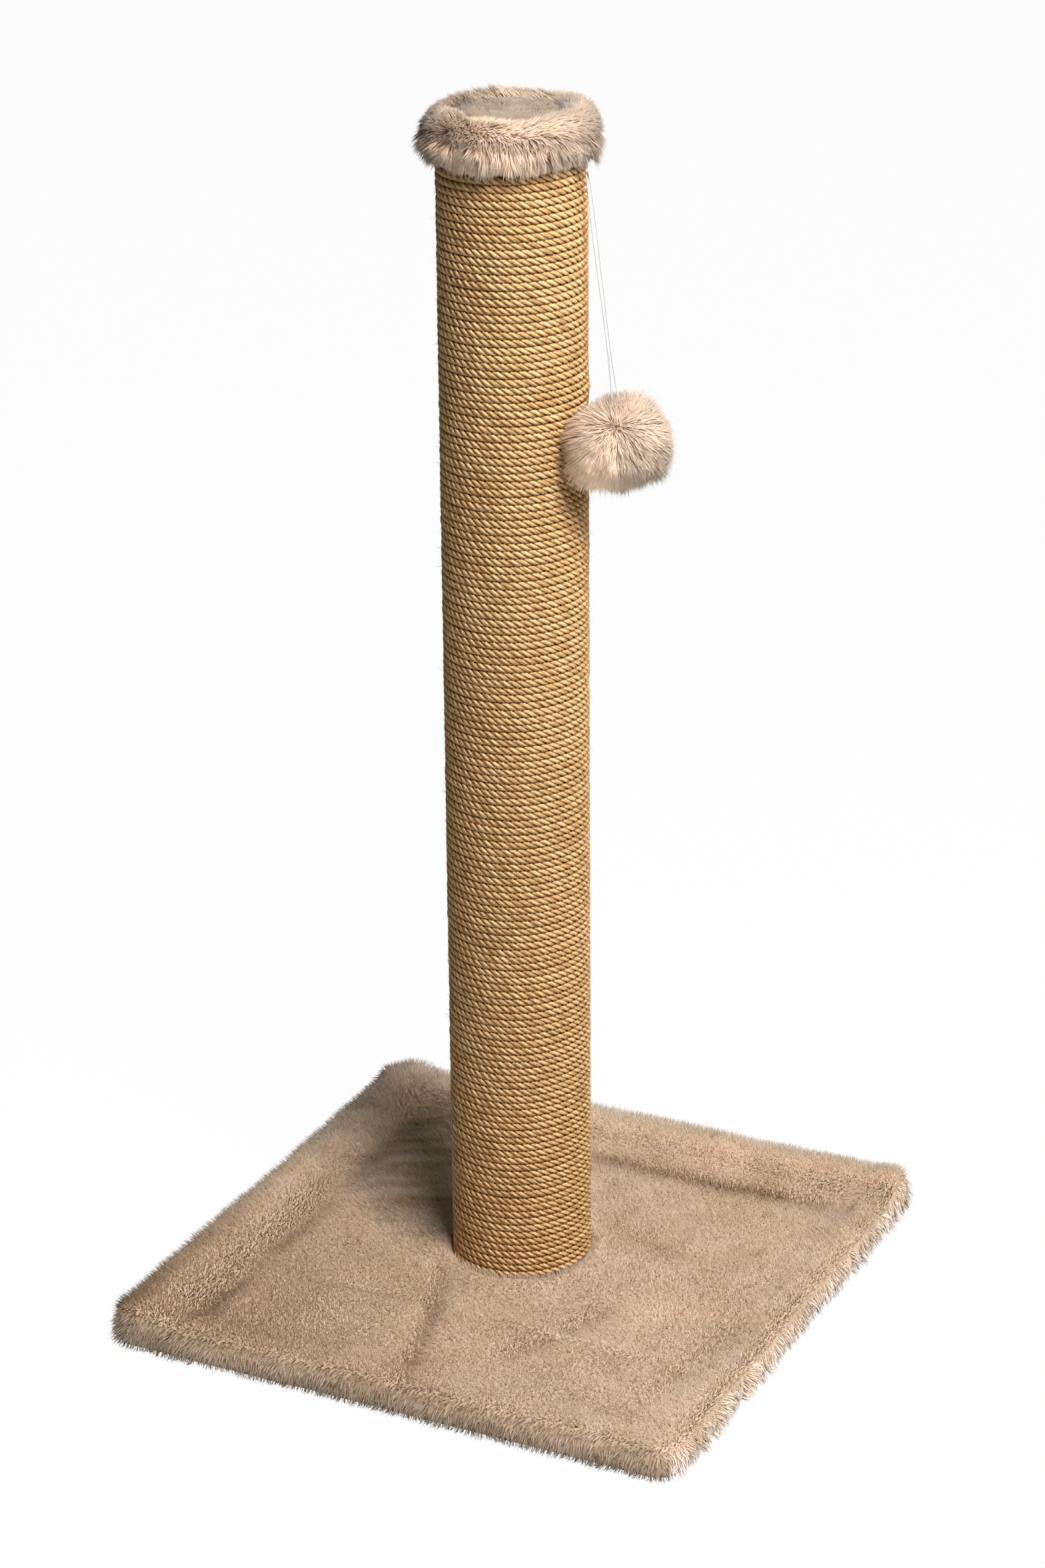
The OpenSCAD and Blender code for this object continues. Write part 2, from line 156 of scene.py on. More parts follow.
def wander(points: Array, cell: float, seed: int) -> Array:
    """Smooth noise that changes over one cell.

    Args:
        points: Places, one row of three each.
        cell: Distance over which the noise changes.
        seed: Which noise it is.

    Returns:
        A number from -1 to 1 for each place.
    """
    scaled = np.asarray(points, float) / cell
    low = np.floor(scaled).astype(np.int64)
    part = ease(scaled - low)
    total = np.zeros(len(scaled))
    for corner in itertools.product((0, 1), repeat=3):
        weight = np.prod(np.where(np.array(corner) == 1, part, 1 - part), axis=1)
        total += weight * lattice(low + np.array(corner), seed)
    return 2 * total - 1


def wander_ways(points: Array, cell: float, seed: int) -> Array:
    """Three noises side by side, as a direction that changes over one cell."""
    return np.stack([wander(points, cell, seed + 101 * k) for k in range(3)], axis=-1)


# Meshes


def linked(name: str, data: bpy.types.ID) -> bpy.types.Object:
    """Puts new data in the scene as an object at the origin."""
    made = bpy.data.objects.new(name, data)
    bpy.context.scene.collection.objects.link(made)
    return made


def object_from(bm: bmesh.types.BMesh, name: str) -> bpy.types.Object:
    """Makes a smooth-shaded object at the origin from a bmesh, and frees the bmesh.

    Args:
        bm: The bmesh.
        name: Name of the piece.

    Returns:
        The piece.
    """
    mesh = bpy.data.meshes.new(name)
    bm.to_mesh(mesh)
    bm.free()
    mesh.shade_smooth()
    return linked(name, mesh)


def bmesh_of(carrier: bpy.types.Object) -> bmesh.types.BMesh:
    """Takes an object's finished shape into a bmesh, and removes the object."""
    bpy.context.view_layer.update()
    graph = bpy.context.evaluated_depsgraph_get()
    mesh = bpy.data.meshes.new_from_object(carrier.evaluated_get(graph))
    bpy.data.objects.remove(carrier)
    bm = bmesh.new()
    bm.from_mesh(mesh)
    bpy.data.meshes.remove(mesh)
    return bm


def read(items: bpy.types.bpy_prop_collection, what: str, size: int, kind: type) -> Array:
    """Reads one property of all items of a mesh, one row each."""
    flat = np.empty(len(items) * size, kind)
    items.foreach_get(what, flat)
    return flat.reshape(-1, size)


def points_of(mesh: bpy.types.Mesh) -> Array:
    """The places of a mesh's points, one row each."""
    return read(mesh.vertices, "co", 3, np.float32).astype(float)


def set_points(mesh: bpy.types.Mesh, points: Array) -> None:
    """Writes the places of a mesh's points."""
    mesh.vertices.foreach_set("co", points.astype(np.float32).ravel())
    mesh.update()


def mark(mesh: bpy.types.Mesh, name: str, values: Array) -> None:
    """Keeps one number for each point of a mesh, for a material to read."""
    layer = mesh.attributes.new(name, "FLOAT", "POINT")
    layer.data.foreach_set("value", np.broadcast_to(values, len(mesh.vertices)).astype(np.float32))


def scatter(ground: bpy.types.Object, count: int, rng: np.random.Generator,
            where: Optional[Places] = None) -> tuple[Array, Array]:
    """Picks roots evenly over a ground.

    Args:
        ground: The ground's object.
        count: Number of roots over the whole ground, before some are left out.
        rng: The seeded source of the picks.
        where: How likely a root stays, from 0 to 1, from its place and normal.

    Returns:
        The roots' places and the ground's normals there.
    """
    mesh = ground.data
    mesh.calc_loop_triangles()
    corners = read(mesh.loop_triangles, "vertices", 3, np.int32)
    points = points_of(mesh)
    ways = read(mesh.vertices, "normal", 3, np.float32).astype(float)
    a, b, c = (points[corners[:, k]] for k in range(3))
    area = np.linalg.norm(np.cross(b - a, c - a), axis=1) / 2
    reach = np.cumsum(area)
    picks = (np.arange(count) + rng.random(count)) / count * reach[-1]
    chosen = np.clip(np.searchsorted(reach, picks), 0, len(area) - 1)
    u, v = rng.random(count), rng.random(count)
    over = u + v > 1
    u[over], v[over] = 1 - u[over], 1 - v[over]
    share = np.stack([1 - u - v, u, v], axis=-1)
    roots = np.einsum("nk,nkj->nj", share, points[corners[chosen]])
    normals = unit(np.einsum("nk,nkj->nj", share, ways[corners[chosen]]))
    if where is not None:
        kept = rng.random(count) < where(roots, normals)
        roots, normals = roots[kept], normals[kept]
    return roots, normals


@dataclass(frozen=True)
class Tuft:
    """One tuft of pile, drawn from a cone one long and one in radius.

    Attributes:
        growth: How many rings it has, so that it can bend.
        flat: Its thickness as a share of its width.
    """

    growth: Growth = Growth.STRAIGHT
    flat: float = 0.5

    def build(self) -> tuple[Array, Array]:
        """Draws the tuft.

        Returns:
            Its points, and the three point numbers of each of its faces.
        """
        bm = bmesh.new()
        bmesh.ops.create_cone(bm, cap_ends=True, cap_tris=False, segments=3,
                              radius1=1.0, radius2=0.0, depth=1.0)
        bmesh.ops.remove_doubles(bm, verts=bm.verts[:], dist=MERGE)
        bmesh.ops.translate(bm, verts=bm.verts[:], vec=(0, 0, 0.5))
        rings = self.growth.value
        for k in range(rings):
            bmesh.ops.bisect_plane(bm, geom=bm.verts[:] + bm.edges[:] + bm.faces[:],
                                   plane_co=(0, 0, (k + 1) / (rings + 1)), plane_no=(0, 0, 1))
        bmesh.ops.triangulate(bm, faces=bm.faces[:])
        bmesh.ops.recalc_face_normals(bm, faces=bm.faces[:])
        bm.verts.ensure_lookup_table()
        points = np.array([v.co[:] for v in bm.verts])
        faces = np.array([[v.index for v in f.verts] for f in bm.faces])
        bm.free()
        full = 1 - points[:, 2] ** 2
        radius = np.maximum(np.linalg.norm(points[:, :2], axis=1), 1e-9)
        points[:, :2] *= (full / radius)[:, None] * (radius > 1e-6)[:, None]
        return points, faces


@dataclass(frozen=True)
class Pile:
    """A growth of tufts over a ground.

    Attributes:
        name: The name of the piece.
        count: Number of tufts over the whole ground.
        length: Length of a tuft.
        width: Half of a tuft's width at its root.
        seed: Which growth it is.
        tuft: The shape of one tuft.
        curl: How strongly the pile wanders in clumps.
        clump: Size of the clumps.
        stray: How much single tufts lie across the others.
        gather: Number of tufts that lean together in one lock.
        pull: How strongly a lock's tufts lean together.
        uneven: How much the tufts differ in length.
        droop: How far the tips hang down, as a share of the length.
        soft: Share of the ground's normal in the shading of a tuft.
        tone: Brightness of the pile.
        tall: How much taller than wide a lock is.
        raised: How far the shading of the tufts is turned upwards.
        vary: How much the brightness differs from lock to lock.
        ragged: How much the length differs from lock to lock.
    """

    name: str
    count: int
    length: float
    width: float
    seed: int
    tuft: Tuft = Tuft()
    curl: float = 0.5
    clump: float = 0.008
    stray: float = 0.14
    gather: int = 14
    pull: float = 0.5
    uneven: float = 0.3
    droop: float = 0.0
    soft: float = 0.75
    tone: float = 1.0
    tall: float = 1.0
    raised: float = 0.0
    vary: float = 0.06
    ragged: float = 0.0

    def locks(self, roots: Array, rng: np.random.Generator) -> tuple[Array, Array]:
        """Parts the roots into locks.

        Args:
            roots: The roots' places.
            rng: The seeded source of the picks.

        Returns:
            The way from each root to the middle of its lock, and the lock's number.
        """
        roots = roots * np.array([1.0, 1.0, 1 / self.tall])
        number_of = max(1, len(roots) // self.gather)
        middles = roots[rng.choice(len(roots), number_of, replace=False)]
        tree = kdtree.KDTree(len(middles))
        for number, middle in enumerate(middles):
            tree.insert(middle, number)
        tree.balance()
        owner = np.array([tree.find(root)[1] for root in roots])
        return middles[owner] - roots, owner

    def grow(self, ground: bpy.types.Object, comb: Places, where: Optional[Places] = None,
             room: Optional[Room] = None, longer: Optional[Room] = None,
             tint: Optional[Room] = None) -> bpy.types.Object:
        """Stands the tufts on a ground.

        Args:
            ground: The ground's object.
            comb: The way and strength in which the pile is combed, from place and normal.
            where: How likely a tuft stands at a place.
            room: Moves points out of what stands beside the fur.
            longer: How much longer or shorter the pile is at a place.
            tint: How much lighter or darker it is at a place: painted light and shade.

        Returns:
            The new piece.
        """
        rng = np.random.default_rng(self.seed)
        roots, up = scatter(ground, self.count, rng, where)
        number = len(roots)
        lay = comb(roots, up) + self.curl * wander_ways(roots, self.clump, self.seed)
        lay = lay + rng.normal(0, self.stray, (number, 3))
        inwards, owner = self.locks(roots, rng)
        inwards = inwards / self.length
        lay = lay + self.pull * inwards
        lay -= dots(lay, up) * up
        along = unit(up + lay)
        side = unit(np.cross(along, up) + 1e-6)
        rise = np.cross(along, side)
        slow = wander(roots, 1.6 * self.clump, self.seed + 7)
        long = self.length * (1 + self.uneven * (0.6 * slow + rng.uniform(-0.6, 0.6, number)))
        long = long * (1 + self.ragged * rng.normal(0, 1, owner.max() + 1)[owner])
        if longer is not None:
            long = long * longer(roots)
        wide = self.width * rng.uniform(0.7, 1.25, number)
        bend = rng.normal(0, 0.07, (number, 3)) - self.droop * UP
        shape, faces = self.tuft.build()
        high = shape[None, :, 2:3]
        points = (roots - ROOT_SINK * up)[:, None, :] + high * (long[:, None] * along)[:, None, :]
        points = points + high ** 2 * (long[:, None] * bend)[:, None, :]
        out = (shape[None, :, 0:1] * side[:, None, :]
               + self.tuft.flat * shape[None, :, 1:2] * rise[:, None, :])
        points = (points + out * wide[:, None, None]).reshape(-1, 3)
        if room is not None:
            points = room(points)
        rounded = unit(unit(up + self.raised * UP) - 0.8 * self.pull * inwards)
        ways = unit(self.soft * rounded[:, None, :]
                    + (1 - self.soft) * unit(out + 0.25 * along[:, None, :]))
        tone = self.tone * (1 + 0.10 * wander(roots, 0.028, self.seed + 3)
                            + 0.08 * wander(roots, self.clump, self.seed + 5)
                            + rng.normal(0, 0.05, number)
                            + rng.normal(0, self.vary, owner.max() + 1)[owner])
        # Painted light and shade, from the piece's own rule.
        if tint is not None:
            tone = tone * tint(roots)
        first = (np.arange(number) * len(shape))[:, None, None]
        every = (faces[None] + first).reshape(-1, 3)
        made = pile_object(self.name, points, every, ways.reshape(-1, 3))
        mark(made.data, "pile", np.tile(shape[:, 2], number))
        # The tone holds random brightness together with the painted light and shade.
        mark(made.data, "tone", np.repeat(tone, len(shape)))
        log.info("%s: %d tufts, %d triangles", self.name, number, len(every))
        return made


def pile_object(name: str, points: Array, faces: Array, ways: Array) -> bpy.types.Object:
    """Makes the object of a growth of tufts.

    Args:
        name: Name of the piece.
        points: Places of all points.
        faces: Three point numbers for each face.
        ways: The shading normal of each point.

    Returns:
        The new object, at the origin.
    """
    mesh = bpy.data.meshes.new(name)
    mesh.vertices.add(len(points))
    mesh.vertices.foreach_set("co", points.astype(np.float32).ravel())
    mesh.loops.add(faces.size)
    mesh.loops.foreach_set("vertex_index", faces.astype(np.int32).ravel())
    mesh.polygons.add(len(faces))
    mesh.polygons.foreach_set("loop_start", np.arange(0, faces.size, 3, dtype=np.int32))
    mesh.update(calc_edges=True)
    mesh.shade_smooth()
    mesh.normals_split_custom_set_from_vertices(ways.astype(np.float32).tolist())
    return linked(name, mesh)


def clear_of_post(radius: float, low: float = -1.0, high: float = 2.0) -> Room:
    """A rule that keeps points outside a radius round the post, between two heights."""

    def push(points: Array) -> Array:
        """Moves points out to the radius."""
        out = np.hypot(points[:, 0], points[:, 1])
        inside = (out < radius) & (points[:, 2] > low) & (points[:, 2] < high)
        grow = np.where(inside, radius / np.maximum(out, 1e-6), 1.0)
        moved = points.copy()
        moved[:, :2] *= grow[:, None]
        return moved

    return push


def above_floor(points: Array) -> Array:
    """Lifts points that would reach into the floor."""
    return np.column_stack([points[:, :2], np.maximum(points[:, 2], FLOOR_GAP)])


# Shader helpers


class Nodes:
    """Short calls for the nodes of one shader tree."""

    def __init__(self, tree: bpy.types.NodeTree) -> None:
        """Keeps the tree."""
        self.tree = tree

    def join(self, value: Value, socket: bpy.types.NodeSocket) -> None:
        """Gives an input a plain value, or joins it to another socket."""
        if isinstance(value, bpy.types.NodeSocket):
            self.tree.links.new(value, socket)
        else:
            socket.default_value = (*value, 1.0) if socket.type == "RGBA" else value

    def add(self, kind: str, inputs: Optional[dict[object, Value]] = None,
            **settings: object) -> bpy.types.NodeInputs:
        """Adds one node, sets it up and joins it.

        Args:
            kind: The node's type, without the word that all shader nodes begin with.
            inputs: What each input holds: a plain value, or the socket it is joined to.
            **settings: The node's own settings.

        Returns:
            The new node's outputs.
        """
        made = self.tree.nodes.new("ShaderNode" + kind)
        for name, value in settings.items():
            setattr(made, name, value)
        for name, value in (inputs or {}).items():
            self.join(value, made.inputs[name])
        return made.outputs

    def blend(self, factor: Value, a: Value, b: Value) -> bpy.types.NodeSocket:
        """Mixes two colours."""
        return self.add("Mix", {0: factor, 6: a, 7: b}, data_type="RGBA")[2]

    def math(self, operation: str, a: Value, b: Value = 0.0) -> bpy.types.NodeSocket:
        """Works out one sum on two numbers."""
        return self.add("Math", {0: a, 1: b}, operation=operation)[0]

    def spread(self, value: Value, low: float, high: float, to_low: float = 0.0,
               to_high: float = 1.0) -> bpy.types.NodeSocket:
        """Brings a value from one range to another and holds it there."""
        return self.add("MapRange", {"Value": value, "From Min": low, "From Max": high,
                                     "To Min": to_low, "To Max": to_high})["Result"]

    def noise(self, vector: Value, scale: Value, detail: float,
              **more: float) -> bpy.types.NodeSocket:
        """A cloudy noise."""
        inputs = {"Vector": vector, "Scale": scale, "Detail": detail}
        return self.add("TexNoise", {**inputs, **more})["Fac"]

    def bump(self, height: Value, strength: Value, depth: Value) -> bpy.types.NodeSocket:
        """A normal that follows a height."""
        return self.add("Bump", {"Strength": strength, "Distance": depth,
                                 "Height": height})["Normal"]

    def group(self, tree: bpy.types.NodeTree, inputs: dict[object, Value]) -> bpy.types.NodeInputs:
        """Places a group with its own values."""
        made = self.tree.nodes.new("ShaderNodeGroup")
        made.node_tree = tree
        for name, value in inputs.items():
            self.join(value, made.inputs[name])
        return made.outputs


Filling = Callable[[Nodes, bpy.types.NodeInputs], dict[str, bpy.types.NodeSocket]]


def shared(name: str, inputs: dict[str, Optional[float]], outputs: dict[str, str],
           fill: Filling) -> bpy.types.NodeTree:
    """Finds a group, or builds it once.

    Args:
        name: The group's name.
        inputs: First value of each number that goes in, and nothing for a vector.
        outputs: Name and socket type of each output.
        fill: Adds the nodes and gives the socket of each output.

    Returns:
        The group.
    """
    if name in bpy.data.node_groups:
        return bpy.data.node_groups[name]
    tree = bpy.data.node_groups.new(name, "ShaderNodeTree")
    for label, first in inputs.items():
        kind = "NodeSocketVector" if first is None else "NodeSocketFloat"
        socket = tree.interface.new_socket(label, in_out="INPUT", socket_type=kind)
        if first is not None:
            socket.default_value = first
    for label, kind in outputs.items():
        tree.interface.new_socket(label, in_out="OUTPUT", socket_type=kind)
    came, goes = tree.nodes.new("NodeGroupInput"), tree.nodes.new("NodeGroupOutput")
    for label, value in fill(Nodes(tree), came.outputs).items():
        tree.links.new(value, goes.inputs[label])
    return tree


def mottle() -> bpy.types.NodeTree:
    """Brightness that wanders in soft patches and fine grain, round one."""

    def fill(nodes: Nodes, came: bpy.types.NodeInputs) -> dict[str, bpy.types.NodeSocket]:
        """Adds the patches to the grain."""
        parts = []
        for label, detail in (("Patch", 3.0), ("Grain", 2.0)):
            noise = nodes.noise(came["Vector"], came[label + " Scale"], detail)
            swing = nodes.spread(noise, 0.3, 0.7, -1.0, 1.0)
            parts.append(nodes.math("MULTIPLY", swing, came[label]))
        return {"Value": nodes.math("ADD", nodes.math("ADD", *parts), 1.0)}

    return shared("mottle", {"Vector": None, "Patch Scale": 20.0, "Grain Scale": 200.0,
                             "Patch": 0.2, "Grain": 0.1}, {"Value": "NodeSocketFloat"}, fill)


def fibre_bump() -> bpy.types.NodeTree:
    """A normal roughened by fine fibres."""

    def fill(nodes: Nodes, came: bpy.types.NodeInputs) -> dict[str, bpy.types.NodeSocket]:
        """Raises the fibres."""
        fibres = nodes.noise(came["Vector"], came["Scale"], 4.0)
        return {"Normal": nodes.bump(fibres, came["Strength"], came["Depth"])}

    return shared("fibre bump", {"Vector": None, "Scale": 300.0, "Strength": 0.3, "Depth": 0.0005},
                  {"Normal": "NodeSocketVector"}, fill)


def strand_streaks() -> bpy.types.NodeTree:
    """Streaks along the strands of a twisted rope, on the rope's own map."""

    def fill(nodes: Nodes, came: bpy.types.NodeInputs) -> dict[str, bpy.types.NodeSocket]:
        """Lays both kinds of streaks round the rope."""
        twisted = nodes.math("MULTIPLY", came["Along"], came["Twist"])
        turned = nodes.math("ADD", came["Around"], twisted)
        angle = nodes.math("MULTIPLY", turned, 2 * math.pi)
        across, beside = nodes.math("COSINE", angle), nodes.math("SINE", angle)
        made = {}
        for label, slow, scale, detail in (("Fine", 0.30, 8.0, 4.0), ("Broad", 0.35, 1.7, 3.0)):
            where = nodes.add("CombineXYZ", {"X": nodes.math("MULTIPLY", came["Along"], slow),
                                             "Y": across, "Z": beside})
            made[label] = nodes.noise(where[0], scale, detail, Roughness=0.6)
        return made

    return shared("strand streaks", {"Along": 0.0, "Around": 0.0, "Twist": 1.0},
                  {"Fine": "NodeSocketFloat", "Broad": "NodeSocketFloat"}, fill)


class Paint(Nodes):
    """A material being built, on the object's own coordinates."""

    def __init__(self, name: str) -> None:
        """Begins the material."""
        self.material = bpy.data.materials.new(name)
        self.material.use_nodes = True
        super().__init__(self.material.node_tree)
        self.where = self.add("TexCoord")["Object"]

    def attribute(self, name: str) -> bpy.types.NodeSocket:
        """The number that the mesh keeps for each point."""
        return self.add("Attribute", attribute_name=name)["Fac"]

    def stretched(self, scale: Sequence[float], turn: Sequence[float] = (0.0, 0.0, 0.0),
                  source: Optional[bpy.types.NodeSocket] = None) -> bpy.types.NodeSocket:
        """Scales and turns the coordinates that a pattern is drawn on."""
        return self.add("Mapping", {"Vector": source or self.where, "Scale": scale,
                                    "Rotation": turn})["Vector"]

    def mottle(self, patch_scale: float, grain_scale: float, patch: float,
               grain: float) -> bpy.types.NodeSocket:
        """Brightness in patches and grain of given sizes and strengths."""
        return self.group(mottle(), {"Vector": self.where, "Patch Scale": patch_scale,
                                     "Grain Scale": grain_scale, "Patch": patch,
                                     "Grain": grain})["Value"]

    def mottled(self, colour: Value, *sizes: float) -> bpy.types.NodeSocket:
        """A colour whose brightness wanders."""
        return self.add("VectorMath", {0: colour, "Scale": self.mottle(*sizes)},
                        operation="SCALE")["Vector"]

    def done(self, colour: Value, rough: Value, normal: Optional[bpy.types.NodeSocket] = None,
             others: Optional[dict[str, Value]] = None) -> bpy.types.Material:
        """Hands the shader what it takes.

        Args:
            colour: Its colour.
            rough: Its roughness.
            normal: Its normal, where it has one of its own.
            others: Its other inputs.

        Returns:
            The material.
        """
        taken = {"Base Color": colour, "Roughness": rough, **(others or {})}
        if normal is not None:
            taken["Normal"] = normal
        shader = self.tree.nodes["Principled BSDF"]
        for name, value in taken.items():
            self.join(value, shader.inputs[name])
        return self.material


# Finishes


@dataclass(frozen=True)
class FurFinish:
    """Dense short pile: creamy at its tips, and dark at its roots as painted shade deep in the
    pile.

    Attributes:
        name: The material's name.
        root: Colour near the cloth, darkened as painted shade deep in the pile.
        body: Colour half way up.
        tip: Colour of the tips.
        blush: Colour that the body turns to in patches.
        patch: How strongly the brightness wanders.
        deep: How far up a tuft the painted shade of its dark root reaches.
        warm: How much browner the fur turns where it is darker.
    """

    name: str
    root: Colour = (0.28, 0.18, 0.11)
    body: Colour = (0.66, 0.475, 0.33)
    tip: Colour = (0.84, 0.68, 0.54)
    blush: Colour = (0.74, 0.50, 0.375)
    patch: float = 0.05
    deep: float = 0.32
    warm: float = 0.0

    def make(self) -> bpy.types.Material:
        """Builds the material."""
        paint = Paint(self.name)
        pile, tone = paint.attribute("pile"), paint.attribute("tone")
        blush = paint.spread(paint.noise(paint.where, 16.0, 2.0), 0.48, 0.72, 0.0, 0.8)
        middle = paint.blend(blush, self.body, self.blush)
        # The root colour is painted shade deep in the pile, fading into the body up to deep.
        low = paint.blend(paint.spread(pile, 0.0, self.deep), self.root, middle)
        high = paint.blend(paint.spread(pile, self.deep, 0.9), low, self.tip)
        shade = paint.math("MULTIPLY", tone, paint.mottle(26.0, 320.0, self.patch, 0.05))
        browner = paint.add("CombineXYZ", {
            "X": paint.math("POWER", shade, 1 - 0.3 * self.warm), "Y": shade,
            "Z": paint.math("POWER", shade, 1 + 0.5 * self.warm)})[0]
        scaled = paint.add("VectorMath", {0: high, 1: browner}, operation="MULTIPLY")["Vector"]
        normal = paint.group(fibre_bump(), {"Vector": paint.where, "Scale": 700.0, "Strength": 0.25,
                                            "Depth": 0.0006})["Normal"]
        return paint.done(scaled, 0.92, normal, {
            "Specular IOR Level": 0.25, "Sheen Weight": 0.15, "Sheen Roughness": 0.5,
            "Sheen Tint": (0.94, 0.98, 1.0)})


@dataclass(frozen=True)
class RopeFinish:
    """Twisted natural fibre: golden, with pale and brown streaks along its strands, and painted
    shade in the grooves between them.

    Attributes:
        name: The material's name.
        groove: Colour between the strands: painted shade in the grooves.
        body: Colour of the fibre.
        pale: Colour of the lightest fibres.
        brown: Colour of the darker lengths.
        lays: Number of turns of the strands for one unit of the map.
    """

    name: str = "wound_rope"
    groove: Colour = (0.15, 0.075, 0.02)
    body: Colour = (0.70, 0.377, 0.130)
    pale: Colour = (0.98, 0.71, 0.39)
    brown: Colour = (0.43, 0.215, 0.065)
    lays: float = 1.0

    def make(self) -> bpy.types.Material:
        """Builds the material."""
        paint = Paint(self.name)
        chart = paint.add("UVMap", uv_map="along_rope")["UV"]
        parts = paint.add("SeparateXYZ", {0: chart})
        streaks = paint.group(strand_streaks(), {
            "Along": paint.math("MULTIPLY", parts["X"], self.lays), "Around": parts["Y"],
            "Twist": 1.0})
        slow = paint.noise(paint.stretched((1, 1, 6)), 22.0, 3.0)
        fine = streaks["Fine"]
        fibre = paint.blend(paint.spread(fine, 0.40, 0.62), self.body, self.pale)
        broad = paint.spread(streaks["Broad"], 0.46, 0.62, 0.0, 0.9)
        browned = paint.blend(broad, fibre, self.brown)
        varied = paint.blend(paint.spread(slow, 0.5, 0.75, 0.0, 0.35), browned, self.brown)
        # Painted shade: the groove colour where a point lies deep between the strands.
        crest = paint.spread(paint.attribute("crest"), 0.05, 0.75)
        return paint.done(paint.blend(crest, self.groove, varied),
                          paint.spread(fine, 0.3, 0.7, 0.72, 0.5), paint.bump(fine, 0.7, 0.0005),
                          {"Specular IOR Level": 0.4})


@dataclass(frozen=True)
class FibreFinish:
    """Loose rope fibres: pale straw, darker near the rope."""

    name: str = "rope_fuzz"
    root: Colour = (0.50, 0.33, 0.16)
    tip: Colour = (0.85, 0.70, 0.46)

    def make(self) -> bpy.types.Material:
        """Builds the material."""
        paint = Paint(self.name)
        fibre = paint.blend(paint.attribute("pile"), self.root, self.tip)
        return paint.done(paint.mottled(fibre, 60.0, 900.0, 0.15, 0.15), 0.7)


@dataclass(frozen=True)
class ElasticFinish:
    """Covered elastic: white braid with a fine slanting rib."""

    name: str = "white_elastic"
    body: Colour = (0.72, 0.73, 0.74)
    rib: Colour = (0.50, 0.51, 0.52)

    def make(self) -> bpy.types.Material:
        """Builds the material."""
        paint = Paint(self.name)
        slanted = paint.stretched((1, 1, 1), (0.0, 0.5, 0.3))
        braid = paint.add("TexWave", {"Vector": slanted, "Scale": 900.0, "Distortion": 0.4},
                          bands_direction="Z")["Fac"]
        ribbed = paint.blend(paint.spread(braid, 0.0, 0.45, 1.0, 0.0), self.body, self.rib)
        return paint.done(paint.mottled(ribbed, 90.0, 900.0, 0.04, 0.05), 0.6,
                          paint.bump(braid, 0.4, 0.0002))


@dataclass(frozen=True)
class ClothFinish:
    """Plain cloth or wadding: a fine crossed weave over soft patches.

    Attributes:
        name: The material's name.
        body: Colour of the threads.
        gap: Colour between the threads.
        threads: Threads to the metre.
        weave: How clearly the weave shows.
    """

    name: str
    body: Colour
    gap: Colour
    threads: float = 900.0
    weave: float = 0.6

    def make(self) -> bpy.types.Material:
        """Builds the material."""
        paint = Paint(self.name)
        weft = {"Vector": paint.where, "Scale": self.threads / 6.28, "Distortion": 1.5,
                "Detail": 1.0}
        waves = [paint.add("TexWave", weft, bands_direction=way)["Fac"] for way in ("X", "Y")]
        crossed = paint.math("MULTIPLY", paint.math("MULTIPLY", *waves), self.weave)
        threads = paint.blend(crossed, self.body, self.gap)
        return paint.done(paint.mottled(threads, 14.0, 260.0, 0.08, 0.12), 0.9,
                          paint.bump(crossed, 0.5, 0.0003))


@dataclass(frozen=True)
class ChipFinish:
    """Raw chipboard: pressed flakes of several browns with dark gaps."""

    name: str = "raw_chipboard"
    light: Colour = (0.62, 0.45, 0.26)
    dark: Colour = (0.36, 0.23, 0.12)
    gap: Colour = (0.12, 0.07, 0.035)

    def make(self) -> bpy.types.Material:
        """Builds the material."""
        paint = Paint(self.name)
        blur = {"Vector": paint.where, "Scale": 90.0, "Detail": 2.0}
        cloud = paint.add("TexNoise", blur)["Color"]
        bent = paint.add("VectorMath", {0: paint.where, 1: cloud, 2: (0.004, 0.004, 0.004)},
                         operation="MULTIPLY_ADD")["Vector"]
        cells = {"Vector": paint.stretched((1.0, 0.45, 1.0), source=bent), "Scale": 330.0}
        flakes = paint.add("TexVoronoi", cells)["Color"]
        gaps = paint.add("TexVoronoi", cells, feature="DISTANCE_TO_EDGE")["Distance"]
        pick = paint.add("SeparateXYZ", {0: flakes})["X"]
        chips = paint.blend(pick, self.dark, self.light)
        edged = paint.blend(paint.spread(gaps, 0.0, 0.08, 0.55, 0.0), chips, self.gap)
        return paint.done(edged, 0.8, paint.bump(gaps, 0.4, 0.0004))


@dataclass(frozen=True)
class PineFinish:
    """Sawn pine: bent growth rings with fine pores."""

    name: str = "sawn_pine"
    early: Colour = (0.74, 0.56, 0.35)
    late: Colour = (0.52, 0.33, 0.16)

    def make(self) -> bpy.types.Material:
        """Builds the material."""
        paint = Paint(self.name)
        rings = paint.add("TexWave", {"Vector": paint.stretched((1.0, 0.25, 1.0)), "Scale": 55.0,
                                      "Distortion": 3.0, "Detail": 3.0, "Detail Scale": 1.5})["Fac"]
        pores = paint.noise(paint.stretched((1.0, 0.06, 1.0)), 1400.0, 2.0)
        grain = paint.blend(paint.spread(rings, 0.45, 0.95), self.early, self.late)
        pored = paint.blend(paint.spread(pores, 0.55, 0.75, 0.0, 0.5), grain, self.late)
        return paint.done(pored, 0.7, paint.bump(pores, 0.3, 0.0003))


